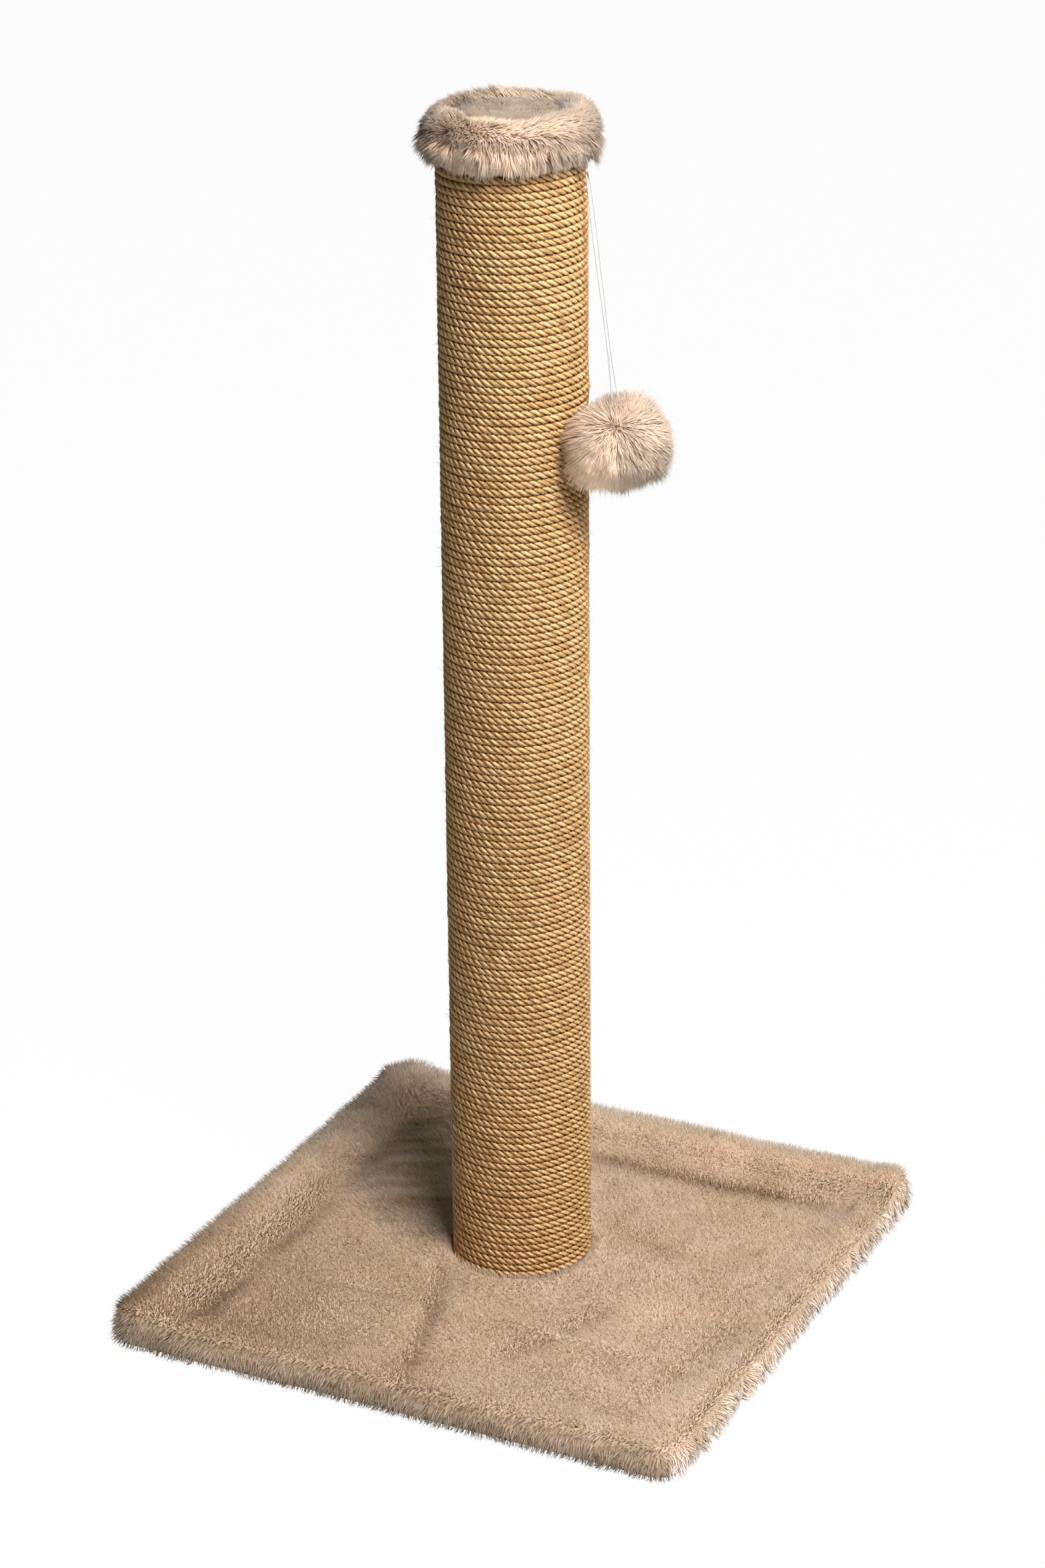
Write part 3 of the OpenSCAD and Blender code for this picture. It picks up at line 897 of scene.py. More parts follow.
@dataclass(frozen=True)
class KraftFinish:
    """Kraft board tube: spiral seams and short fibres."""

    name: str = "kraft_tube"
    body: Colour = (0.50, 0.35, 0.21)
    seam: Colour = (0.31, 0.20, 0.11)

    def make(self) -> bpy.types.Material:
        """Builds the material."""
        paint = Paint(self.name)
        turned = paint.stretched((1.0, 1.0, 1.0), (0.55, 0.0, 0.0))
        seams = paint.add("TexWave", {"Vector": turned, "Scale": 3.2}, bands_direction="Z",
                          wave_profile="SAW")["Fac"]
        lined = paint.blend(paint.spread(seams, 0.96, 1.0, 0.0, 0.8), self.body, self.seam)
        return paint.done(paint.mottled(lined, 18.0, 500.0, 0.08, 0.12), 0.8)


@dataclass(frozen=True)
class MetalFinish:
    """Plated or turned metal with fine scratches.

    Attributes:
        name: The material's name.
        body: Colour of the metal.
        dull: Colour where it is dulled.
        rough: Roughness where it is clean.
    """

    name: str
    body: Colour
    dull: Colour
    rough: float = 0.3

    def make(self) -> bpy.types.Material:
        """Builds the material."""
        paint = Paint(self.name)
        clouds = paint.noise(paint.where, 160.0, 4.0)
        lines = paint.noise(paint.stretched((1.0, 1.0, 0.08)), 2600.0, 2.0)
        worn = paint.blend(paint.spread(clouds, 0.45, 0.65), self.body, self.dull)
        rough = paint.math("ADD", paint.spread(lines, 0.3, 0.7, 0.0, 0.15),
                           paint.spread(clouds, 0.4, 0.7, self.rough, self.rough + 0.15))
        return paint.done(worn, rough, None, {"Metallic": 1.0})


# The fur-covered base


@dataclass(frozen=True)
class Fold:
    """A crease or ridge in the fur of the base, between two places.

    Attributes:
        start: First place.
        end: Second place.
        width: Half of its width.
        height: Its height, below nothing for a crease.
    """

    start: tuple[float, float]
    end: tuple[float, float]
    width: float
    height: float

    def rise(self, x: Array, y: Array) -> Array:
        """Its height at each place."""
        way = np.array(self.end) - np.array(self.start)
        from_x, from_y = x - self.start[0], y - self.start[1]
        along = np.clip((from_x * way[0] + from_y * way[1]) / way.dot(way), 0, 1)
        return self.height * bell(np.hypot(from_x - along * way[0], from_y - along * way[1]),
                                  self.width)


FOLDS = (
    Fold((-0.041, -0.063), (-0.016, -0.129), 0.008, -0.0024),
    Fold((-0.016, -0.129), (0.004, -0.201), 0.008, -0.0028),
    Fold((0.004, -0.201), (0.016, -0.240), 0.008, -0.0022),
    Fold((-0.134, -0.126), (-0.021, -0.119), 0.004, -0.0014),
    Fold((0.020, -0.118), (0.089, -0.120), 0.005, 0.0016),
    Fold((0.089, -0.120), (0.214, -0.124), 0.005, 0.0018),
    Fold((0.111, -0.074), (0.070, -0.164), 0.010, -0.0022),
    Fold((-0.186, -0.205), (-0.186, -0.150), 0.012, -0.0022),
    Fold((-0.184, -0.085), (-0.184, -0.010), 0.012, -0.0022),
    Fold((-0.187, -0.200), (-0.185, 0.180), 0.013, -0.0024),
    Fold((-0.185, 0.168), (0.190, 0.166), 0.013, -0.0026),
    Fold((0.150, 0.172), (0.222, 0.172), 0.010, -0.0016),
    Fold((0.055, 0.060), (0.120, 0.035), 0.010, -0.0018),
    Fold((0.205, -0.160), (0.219, -0.052), 0.014, -0.0016),
)


@dataclass
class FurBase:
    """The square base: a fur ground folded round the board, with standing pile.

    Attributes:
        width: Side of the base over its cloth.
        corner: Radius of its corners seen from above.
        edge: Radius of its top edge.
        top: Height of the cloth's top face.
        seat: Height of the pressed cloth under the post.
        board_half: Half of the board's side with its clearance.
        board_low: Height of the board's underside.
        board_high: Height of the board's top.
        hem_half: Half of the width inside the turned hem.
        cells: Number of cells along one side of the top.
        steep: Rise of the normal at which the pile of the sides takes over.
    """

    width: float = 0.496
    corner: float = 0.022
    edge: float = 0.008
    top: float = 0.0246
    seat: float = 0.0196
    board_half: float = 0.2412
    board_low: float = 0.0024
    board_high: float = 0.0184
    hem_half: float = 0.213
    cells: int = 140
    steep: float = 0.55
    pieces: list[bpy.types.Object] = field(default_factory=list)

    def rise(self, x: Array, y: Array) -> Array:
        """Height of the cloth's top face at each place."""
        flat = level(x, y)
        lumps = (0.0011 * wander(flat, 0.050, 11) + 0.0006 * wander(flat, 0.022, 12)
                 + 0.0003 * wander(flat, 0.009, 13))
        half = self.width / 2
        left = 0.0084 * ease(1 - np.abs(x + half - 0.024) / 0.036)
        back = 0.0084 * ease(1 - np.abs(half - y - 0.027) / 0.036)
        right = 0.0022 * ease(1 - np.abs(half - x - 0.016) / 0.026)
        front = 0.0016 * ease(1 - np.abs(y + half - 0.016) / 0.024)
        height = self.top + lumps + np.maximum(left, back) + np.maximum(right, front)
        for fold in FOLDS:
            height = height + fold.rise(x, y)
        out = np.hypot(x, y)
        bunched = np.maximum(height, self.seat + 0.0003) + 0.0014 * bell(out - 0.068, 0.012)
        return self.seat + (bunched - self.seat) * ease((out - 0.0575) / 0.0030)

    def outline(self, points: Array) -> tuple[Array, Array]:
        """The nearest places on the rounded outline, and the ways outwards there.

        Args:
            points: Places on the square, one row of two each.

        Returns:
            Places on the outline at the cloth's full width, and unit ways outwards.
        """
        inner = self.width / 2 - self.corner
        centre = np.clip(points, -inner, inner)
        away = unit(points - centre)
        return centre + self.corner * away, away

    def ground(self) -> bpy.types.Object:
        """Builds the cloth: its top, its rounded sides, its hem and its inside."""
        bm = bmesh.new()
        half = self.width / 2
        flat_half = half - self.edge
        bmesh.ops.create_grid(bm, x_segments=self.cells, y_segments=self.cells, size=flat_half)
        bm.verts.ensure_lookup_table()
        places = np.array([v.co[:2] for v in bm.verts])
        inner = flat_half - (self.corner - self.edge)
        over = np.maximum(np.abs(places) - inner, 0)
        reach = np.maximum(np.linalg.norm(over, axis=1), 1e-12)
        shrink = np.where(over.min(axis=1) > 0, over.max(axis=1) / reach, 1.0)[:, None]
        places = np.sign(places) * (np.minimum(np.abs(places), inner) + over * shrink)
        for vert, spot, height in zip(bm.verts, places, self.rise(places[:, 0], places[:, 1])):
            vert.co = (spot[0], spot[1], height)
        edges = [e for e in bm.edges if e.is_boundary]
        ring = list({v for e in edges for v in e.verts})
        owner = {v: k for k, v in enumerate(ring)}
        line, away = self.outline(np.array([v.co[:2] for v in ring]))
        rim = np.array([v.co.z for v in ring])
        start = level(line[:, 0], line[:, 1])
        wave = 0.0014 * wander(start, 0.034, 21) + 0.0007 * wander(start, 0.014, 22)
        rings = [(-self.edge * (1 - math.sin(a)), rim - self.edge * (1 - math.cos(a)), 0.4)
                 for a in (math.pi / 6, math.pi / 3, math.pi / 2)]
        rings += [(0.0004, 0.0150, 1.0), (0.0002, 0.0100, 1.2), (-0.0004, 0.0055, 1.2),
                  (-0.0020, 0.0018, 0.8), (-0.0044, 0.0003, 0.4)]
        for offset, height, share in rings:
            spots = line + (offset + share * wave)[:, None] * away
            edges, owner = self.next_ring(bm, edges, owner, spots, height)
        deep, inside = self.hem_half - half, self.board_half - half
        for offset, height in ((-0.016, 0.0), (deep, 0.0), (deep, self.board_low),
                               (inside, self.board_low), (inside, self.board_high),
                               (-0.10, self.board_high)):
            limit = half + offset
            spots = np.clip(line + offset * away, -limit, limit)
            edges, owner = self.next_ring(bm, edges, owner, spots, height)
        bmesh.ops.contextual_create(bm, geom=edges)
        bmesh.ops.remove_doubles(bm, verts=bm.verts[:], dist=MERGE)
        bmesh.ops.recalc_face_normals(bm, faces=bm.faces[:])
        return object_from(bm, "base_fur_cloth")

    @staticmethod
    def next_ring(bm: bmesh.types.BMesh, edges: list[bmesh.types.BMEdge],
                  owner: dict[bmesh.types.BMVert, int], places: Array, heights: Array,
                  ) -> tuple[list[bmesh.types.BMEdge], dict[bmesh.types.BMVert, int]]:
        """Extrudes the open rim once and sets the new ring in its place.

        Args:
            bm: The mesh being built.
            edges: The edges of the open rim.
            owner: The number of each of the rim's points.
            places: Where each numbered point of the new ring goes, seen from above.
            heights: The height of each numbered point, or one height for all.

        Returns:
            The new rim's edges, and the numbers of its points.
        """
        heights = np.broadcast_to(heights, len(places))
        grown = bmesh.ops.extrude_edge_only(bm, edges=edges)["geom"]
        fresh: dict[bmesh.types.BMVert, int] = {}
        for vert in (g for g in grown if isinstance(g, bmesh.types.BMVert)):
            beside = (edge.other_vert(vert) for edge in vert.link_edges)
            number = next((owner[other] for other in beside if other in owner), None)
            if number is not None:
                fresh[vert] = number
        for vert, number in fresh.items():
            vert.co = (places[number][0], places[number][1], heights[number])
        rim = [g for g in grown if isinstance(g, bmesh.types.BMEdge) and g.is_boundary]
        return rim, fresh

    def comb_top(self, roots: Array, up: Array) -> Array:
        """The way in which the top's pile lies: forwards, outwards on the raised edges."""
        x, y = roots[:, 0], roots[:, 1]
        lay = np.zeros_like(roots)
        lay[:, 0] = 0.04 + 0.16 * wander(roots, 0.090, 31)
        lay[:, 1] = -0.52 + 0.16 * wander(roots, 0.070, 32)
        for share, way in ((ease((-x - 0.195) / 0.03), (-0.12, -0.38, 0.0)),
                           (ease((y - 0.20) / 0.03), (0.05, 0.15, 0.0)),
                           (self.swept(roots), (-0.68, -0.38, 0.0))):
            lay = lay * (1 - share[:, None]) + share[:, None] * np.array(way)
        around = np.hypot(x, y)
        foot = 0.6 * ease((0.072 - around) / 0.012)[:, None]
        outward = level(x, y) / np.maximum(around, 1e-6)[:, None]
        return lay * (1 - foot) + foot * 0.5 * outward

    @staticmethod
    def swept(roots: Array) -> Array:
        """How far the pile is swept aside: fully in a patch behind the post's left."""
        x, y = roots[:, 0] + 0.105, roots[:, 1] - 0.080
        along, across = 0.75 * y - 0.66 * x, 0.66 * y + 0.75 * x
        return ease(1.5 - np.hypot(along / 0.125, across / 0.085))

    def tone_and_painted_light_top(self, roots: Array) -> Array:
        """How light the top is: painted shade in its creases and back valley, painted light on its
        ridges, towards the right, on the left border and in wisps inside the post's shadow, over
        random streaks and ticks.
        """
        x, y = roots[:, 0], roots[:, 1]
        # Painted shade in the creases, and painted light on the ridges.
        creased = sum(fold.rise(x, y) for fold in FOLDS)
        streaks = 0.07 * wander(roots * np.array([1.0, 0.25, 1.0]), 0.0022, 36)
        flecks = wander(roots * np.array([1.0, 0.35, 1.0]), 0.0036, 38)
        ticks = -0.26 * ease((flecks - 0.55) / 0.2)
        smooth = 0.06 * wander(roots * np.array([1.0, 0.5, 1.0]), 0.034, 37)
        # Painted light and shade over the top: darkest at the front left corner, lighter towards
        # the right and the back.
        across = 0.75 + 0.45 * x + 0.60 * y - 4.4 * x * y
        # Painted light on the raised left border.
        left = 0.22 * ease((-x - 0.160) / 0.035) * ease((y + 0.20) / 0.06)
        # Painted light: light wisps inside the post's cast shadow, behind the post's left.
        along = level(0.13 * (0.90 * x + 0.44 * y), 0.90 * y - 0.44 * x)
        wisps = wander(along, 0.0060, 39) + 0.7 * wander(along, 0.0030, 42)
        shaded = self.swept(roots) * (0.30 + 0.46 * wisps)
        # Painted shade in the valley behind the post.
        valley = (-0.32 * bell(y - 0.163, 0.018) * ease((x + 0.02) / 0.03)
                  * ease((0.185 - x) / 0.05))
        return (1 + np.clip(140 * creased, -0.45, 0.12) + streaks + ticks + smooth + left
                + shaded + valley) * across

    @staticmethod
    def tone_and_painted_shade_sides(roots: Array) -> Array:
        """How light the sides are: painted shade where they meet the floor, over a faint random
        tone.
        """
        return 1 - 0.6 * ease((0.0075 - roots[:, 2]) / 0.0065) + 0.06 * wander(roots, 0.016, 40)

    @staticmethod
    def comb_side(roots: Array, up: Array) -> Array:
        """The way in which the sides' pile lies: down on the front, across on the right."""
        lay = np.tile(np.array([0.0, 0.0, -1.05]), (len(roots), 1))
        lay[:, 0] += 0.7 * wander(roots, 0.030, 33)
        lay[:, 1] += 0.7 * wander(roots, 0.030, 34)
        right = ease((up[:, 0] - 0.5) / 0.3)[:, None]
        over = np.array([0.0, -0.7, -0.45]) + 0.7 * wander_ways(roots, 0.02, 35)
        return lay * (1 - right) + right * over

    @staticmethod
    def quarter(way: tuple[float, float], p: Array) -> Array:
        """Which places lie in the quarter of the square that faces one way."""
        ahead, aside = p[:, 0] * way[0] + p[:, 1] * way[1], p[:, 0] * way[1] - p[:, 1] * way[0]
        return ahead > np.abs(aside)

    def on_top(self, way: tuple[float, float], p: Array, n: Array) -> Array:
        """Whether a tuft stands on one quarter of the top, clear of the post."""
        clear = np.hypot(p[:, 0], p[:, 1]) > 0.0590
        return (self.quarter(way, p) & clear & (n[:, 2] > self.steep)
                & (p[:, 2] > 0.015)).astype(float)

    def on_side(self, way: tuple[float, float], p: Array, n: Array) -> Array:
        """Whether a tuft stands on one of the four sides, down to the floor."""
        outside = (np.sum(p[:, :2] * n[:, :2], axis=1) > 0) & (np.abs(p[:, :2]).max(axis=1) > 0.235)
        return (self.quarter(way, p) & outside & (n[:, 2] <= self.steep) & (n[:, 2] > -0.75)
                & (p[:, 2] > 0.0006)).astype(float)

    def dress(self, fur: bpy.types.Material, edge: bpy.types.Material) -> None:
        """Builds the cloth and its pile, and puts them on the stand.

        Args:
            fur: The material of all but the front side.
            edge: The material of the front side's pile: a darker-rooted copy, painted shade on the
                front side, which the lamp lights less.
        """
        cloth = self.ground()
        mark(cloth.data, "pile", np.array([0.42]))
        mark(cloth.data, "tone", 0.86 + 0.08 * wander(points_of(cloth.data), 0.02, 14))
        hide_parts("base_cover")
        self.pieces.append(cloth)
        keep_off = clear_of_post(POST_FACE + 0.0006, 0.0)
        top = Pile("base_pile_", 400000, 0.0064, 0.00042, 41, curl=0.05, clump=0.030, stray=0.11,
                   gather=6, pull=0.16, uneven=0.28, soft=0.74, tone=1.06)
        side = Pile("base_side_pile_", 150000, 0.0086, 0.00046, 51, Tuft(Growth.BENT), curl=0.5,
                    clump=0.010, gather=40, pull=0.5, uneven=0.30, droop=0.12, soft=0.70,
                    tone=1.44, tall=1.8, raised=0.5, vary=0.10)
        # The front side's pile gets a lower tone than the other sides and the darker material:
        # painted shade on the side that the lamp lights less.
        front = replace(side, length=0.0096, gather=13, pull=0.40, tone=1.10, raised=0.0, vary=0.06)
        for number, way in enumerate(((0.0, -1.0), (1.0, 0.0), (0.0, 1.0), (-1.0, 0.0))):
            above = replace(top, name=top.name + str(number), seed=top.seed + number)
            self.pieces.append(above.grow(cloth, self.comb_top, partial(self.on_top, way), keep_off,
                                          tint=self.tone_and_painted_light_top))
            beside = front if number == 0 else side
            beside = replace(beside, name=side.name + str(number), seed=side.seed + number)
            self.pieces.append(beside.grow(cloth, self.comb_side, partial(self.on_side, way),
                                           above_floor, tint=self.tone_and_painted_shade_sides))
        for piece in self.pieces:
            piece.data.materials.append(edge if piece.name == "base_side_pile_0" else fur)
            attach(piece, "stand")
        log.info("base: %d pieces", len(self.pieces))


# The wound rope


@dataclass
class RopeWinding:
    """One twisted rope wound round the tube, drawn with its three strands.

    Attributes:
        rope: The rope's diameter.
        pitch: Rise of the rope in one turn.
        core: Radius of the winding at the middle of the rope.
        low: Height of the first turn's middle.
        high: Height of the last turn's middle.
        lay: Length in which the strands go once round the rope.
        rings: Rings of points in one lay.
        valley: Reach of the groove between two strands, as a share of the rope's radius.
        flat: How far the wound rope is pressed flat.
        full: How far it spreads against its neighbours.
        names: The pieces that the rope is drawn in, from its foot on.
    """

    rope: float = 0.0064
    pitch: float = 0.00612
    core: float = 0.0542
    low: float = 0.0230
    high: float = 0.9432
    lay: float = 0.0195
    rings: int = 12
    valley: float = 0.54
    flat: float = 0.86
    full: float = 1.10
    names: tuple[str, ...] = ("rope_foot", "rope_lower", "rope_upper", "rope_head")
    pieces: list[bpy.types.Object] = field(default_factory=list)

    def straight(self, lays: int) -> bpy.types.Object:
        """Draws a straight length of the rope: one lay of its twisted section, set end to end.

        Args:
            lays: Number of lays in the length.

        Returns:
            The length, with its middle along Z.
        """
        bm = bmesh.new()
        bmesh.ops.create_circle(bm, segments=9, radius=self.rope / 2)
        for number, vert in enumerate(bm.verts):
            strand, part = divmod(number, 3)
            turn = math.radians(120 * strand + (-27, 27, 60)[part])
            reach = self.rope / 2 * (1.0, 1.0, self.valley)[part]
            vert.co = (reach * math.cos(turn), reach * math.sin(turn), 0.0)
        bmesh.ops.spin(bm, geom=bm.verts[:] + bm.edges[:], cent=(0, 0, 0), axis=(0, 0, 1),
                       dvec=(0, 0, self.lay / self.rings), angle=-2 * math.pi, steps=self.rings,
                       use_merge=False, use_duplicate=False)
        one = object_from(bm, "one_lay")
        row = one.modifiers.new("row", "ARRAY")
        row.count = lays
        row.use_relative_offset = False
        row.use_constant_offset = True
        row.constant_offset_displace = (0.0, 0.0, self.lay)
        row.use_merge_vertices = True
        row.merge_threshold = MERGE
        whole = bmesh_of(one)
        bmesh.ops.holes_fill(whole, edges=[e for e in whole.edges if e.is_boundary], sides=9)
        bmesh.ops.recalc_face_normals(whole, faces=whole.faces[:])
        return object_from(whole, "straight_rope")

    @property
    def climb(self) -> float:
        """The angle at which the rope climbs."""
        return math.atan2(self.pitch, 2 * math.pi * self.core)

    def wind(self, name: str, start: float, length: float) -> bpy.types.Object:
        """Winds one length of the rope round the tube.

        Args:
            name: Name of the piece.
            start: Where on the whole rope the length begins.
            length: How long it is.

        Returns:
            The piece.
        """
        lays = max(1, round(length / self.lay))
        made = self.straight(lays)
        made.name = name
        mesh = made.data
        points = points_of(mesh)
        x, y, z = points.T
        whole = start + z * length / (lays * self.lay)
        reach = np.hypot(x, y)
        turn_at = np.arctan2(y, x)
        angle = whole * math.cos(self.climb) / self.core + math.radians(93)
        height = self.low + whole * math.sin(self.climb)
        steps = level(whole, np.zeros_like(whole))
        loose = 0.00024 * wander(steps, 0.05, 51)
        lift = 0.00032 * wander(steps, 0.08, 52)
        thick = 1 + 0.05 * wander(steps, 0.03, 53)
        squarer = 1 + 0.36 * (y / (self.rope / 2)) ** 2 * (x > 0)
        bump = 0.0012 * bell(height - 0.762, 0.006) * bell(np.mod(angle, 2 * math.pi) - 0.35, 0.25)
        out = self.core + loose + bump + thick * self.flat * squarer * x
        up = height + lift + thick * self.full * y
        set_points(mesh, np.column_stack([out * np.cos(angle), out * np.sin(angle), up]))
        # How far out on a strand each point lies, for the painted shade in the grooves; the side
        # towards the tube gets a little more painted shade.
        crest = np.clip((reach / (self.rope / 2) - self.valley) / (1 - self.valley), 0, 1)
        outward = np.clip(0.5 + x / self.rope * 1.3, 0.0, 1.0)
        mark(mesh, "crest", crest * (0.8 + 0.2 * outward))
        around = np.mod(turn_at + 2 * math.pi * z / self.lay, 2 * math.pi) / (2 * math.pi)
        self.chart(mesh, whole / self.lay, around - z / self.lay)
        log.info("%s: %.2f m of rope, %d faces", name, length, len(mesh.polygons))
        return made

    @staticmethod
    def chart(mesh: bpy.types.Mesh, along: Array, around: Array) -> None:
        """Gives the rope its own map: lays along it, turns round it."""
        layer = mesh.uv_layers.new(name="along_rope")
        corners = read(mesh.loops, "vertex_index", 1, np.int32)[:, 0]
        starts = read(mesh.polygons, "loop_start", 1, np.int32)[:, 0]
        turns = around[corners]
        first = np.repeat(turns[starts], np.diff(np.append(starts, len(corners))))
        turns = turns - np.round(turns - first)
        spots = np.column_stack([along[corners], turns])
        layer.uv.foreach_set("vector", spots.astype(np.float32).ravel())

    def fuzz(self) -> bpy.types.Object:
        """Loose fibres that stand out of the rope."""
        bm = bmesh.new()
        radius = POST_FACE - 0.0006
        bmesh.ops.create_cone(bm, cap_ends=False, segments=96, radius1=radius, radius2=radius,
                              depth=self.high - self.low)
        bmesh.ops.translate(bm, verts=bm.verts[:], vec=(0, 0, (self.high + self.low) / 2))
        bmesh.ops.recalc_face_normals(bm, faces=bm.faces[:])
        guide = object_from(bm, "rope_fuzz_guide")
        hairs = Pile("rope_fuzz", 7000, 0.0050, 0.00010, 61, Tuft(Growth.CURVED, 1.0), curl=1.2,
                     clump=0.004, uneven=0.8, soft=0.3)
        made = hairs.grow(guide, lambda p, n: 2.2 * wander_ways(p, 0.003, 62))
        bpy.data.objects.remove(guide)
        return made

    def dress(self, fibre: bpy.types.Material, loose: bpy.types.Material) -> None:
        """Winds the rope in its pieces and puts them on the stand."""
        share = (self.high - self.low) / math.sin(self.climb) / len(self.names)
        for number, name in enumerate(self.names):
            piece = self.wind(name, number * share, share)
            piece.data.materials.append(fibre)
            self.pieces.append(piece)
        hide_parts("rope_turns_bottom")
        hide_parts("rope_turns_middle")
        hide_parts("rope_turns_top")
        hairs = self.fuzz()
        hairs.data.materials.append(loose)
        self.pieces.append(hairs)
        for piece in self.pieces:
            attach(piece, "stand")


# The fur cap


@dataclass
class FurCap:
    """The cap: a puffed band of fur round a sunken disc of fur.

    Attributes:
        skirt: Radius inside the band's lower edge.
        outer: Radius of the cloth where the band is widest.
        low: Height of the band's lower edge.
        board: Radius of the hollow for the board.
        board_low: Height of the board's underside.
        board_top: Height of the board under the fur.
        crest: Height of the cloth at the top of the band.
        disc_edge: Radius of the sunken disc.
        disc_top: Height of the disc's cloth.
        seam: Direction in which the band's ends meet.
        seam_z: Height of the pit where they meet.
        slack: Room between the cloth and the board.
    """

    skirt: float = 0.0587
    outer: float = 0.0636
    low: float = 0.9415
    board: float = 0.0552
    board_low: float = 0.9466
    board_top: float = 0.9586
    crest: float = 0.9735
    disc_edge: float = 0.0400
    disc_top: float = 0.9690
    seam: float = math.radians(-116)
    seam_z: float = 0.9625
    slack: float = 0.0002
    pieces: list[bpy.types.Object] = field(default_factory=list)

    @staticmethod
    def spun(name: str, section: Section, steps: int) -> bpy.types.Object:
        """Turns a section once round the post's axis, closed or from axis to axis.

        Args:
            name: Name of the piece.
            section: Distances from the axis and heights.
            steps: Number of steps round.

        Returns:
            The piece.
        """
        bm = bmesh.new()
        verts = [bm.verts.new((r, 0.0, z)) for r, z in section]
        closed = section[0][0] > 1e-6
        pairs = list(zip(verts, verts[1:])) + ([(verts[-1], verts[0])] if closed else [])
        edges = [bm.edges.new(pair) for pair in pairs]
        bmesh.ops.spin(bm, geom=verts + edges, cent=(0, 0, 0), axis=(0, 0, 1), angle=2 * math.pi,
                       steps=steps, use_merge=True, use_duplicate=False)
        bmesh.ops.remove_doubles(bm, verts=bm.verts[:], dist=MERGE)
        bmesh.ops.recalc_face_normals(bm, faces=bm.faces[:])
        return object_from(bm, name)

    def off_seam(self, points: Array) -> Array:
        """Distance of each point from the seam, round the band."""
        angle = np.arctan2(points[:, 1], points[:, 0]) - self.seam
        return np.arctan2(np.sin(angle), np.cos(angle)) * self.outer

    def shape_band(self, points: Array) -> Array:
        """Gives the band its lumps, its wavy top and the pit where its ends meet."""
        x, y, z = points.T
        angle = np.arctan2(y, x)
        ring = level(np.cos(angle), np.sin(angle)) * self.outer
        out = np.hypot(x, y)
        outside = ease((out - self.skirt) / 0.004) * ease((z - self.low) / 0.006)
        swell = 0.0012 * wander(ring, 0.026, 71) + 0.0008 * wander(points, 0.012, 72)
        swell = swell - 0.0016 * ease(np.cos(angle - 0.4) * 1.4)
        ear = bell(np.arctan2(np.sin(angle - 0.50), np.cos(angle - 0.50)), 0.34)
        swell = swell + 0.0042 * ear * ease((z - 0.9615) / 0.006)
        off = self.off_seam(points)
        near = np.exp(-((off / 0.0045) ** 2 + ((z - self.seam_z) / 0.0075) ** 2))
        groove = -0.0060 * near - 0.0012 * bell(off, 0.0030)
        lobe = 0.0030 * bell(off + 0.015, 0.008)
        grow = 1 + outside * (swell + groove + lobe) / np.maximum(out, 1e-6)
        high = ease((z - self.board_top - 0.004) / 0.008)
        lift = high * (0.0016 * wander(ring, 0.030, 73) + 0.0009 * wander(ring, 0.013, 74)
                       + 0.0034 * ear)
        open_for_cord = ease((0.0062 - np.abs(y)) / 0.0020) * (x > 0)
        lift = lift + open_for_cord * np.maximum(self.board_top - 0.0011 - z, 0)
        return np.column_stack([x * grow, y * grow, z + lift])

    def band(self) -> bpy.types.Object:
        """The cloth of the puffed band."""
        outside = [(0.0019, 0.0050), (0.0004, 0.0090), (0.0, 0.0130), (0.0006, 0.0180),
                   (0.0022, 0.0225), (0.0048, 0.0265), (0.0082, 0.0298)]
        above, below = self.board_top + self.slack, self.board_low - 0.0004
        section = [(self.skirt, self.low), (self.skirt + 0.0009, self.low - 0.0004),
                   (self.skirt + 0.0026, self.low + 0.0014),
                   *((self.outer - inwards, self.low + up) for inwards, up in outside),
                   (self.outer - 0.0125, self.crest), (self.outer - 0.0175, self.crest - 0.0004),
                   (self.disc_edge + 0.0035, self.crest - 0.0022),
                   (self.disc_edge + 0.0008, self.disc_top + 0.0008),
                   (self.disc_edge, self.disc_top - 0.0010), (self.disc_edge, above),
                   (self.board, above), (self.board, below), (self.skirt, below)]
        made = self.spun("cap_band_cloth", section, 168)
        set_points(made.data, self.shape_band(points_of(made.data)))
        return made

    def disc(self) -> bpy.types.Object:
        """The cloth of the sunken disc on top."""
        reach, under = self.disc_edge - 0.0004, self.board_top + self.slack
        section = [(0.0, self.disc_top - 0.0006), (0.008, self.disc_top - 0.0006),
                   (0.016, self.disc_top - 0.0002), (0.024, self.disc_top),
                   (0.032, self.disc_top + 0.0004), (reach, self.disc_top), (reach, under),
                   (0.0, under)]
        made = self.spun("cap_disc_cloth", section, 96)
        points = points_of(made.data)
        x, y, z = points.T
        high = ease((z - self.board_top - 0.002) / 0.004)
        ridges = np.sin((y - 0.5 * x + 0.003 * wander(points, 0.02, 87)) * 2 * math.pi / 0.0165)
        points[:, 2] += high * (0.0008 * wander(points, 0.018, 75) + 0.0009 * ridges)
        set_points(made.data, points)
        return made

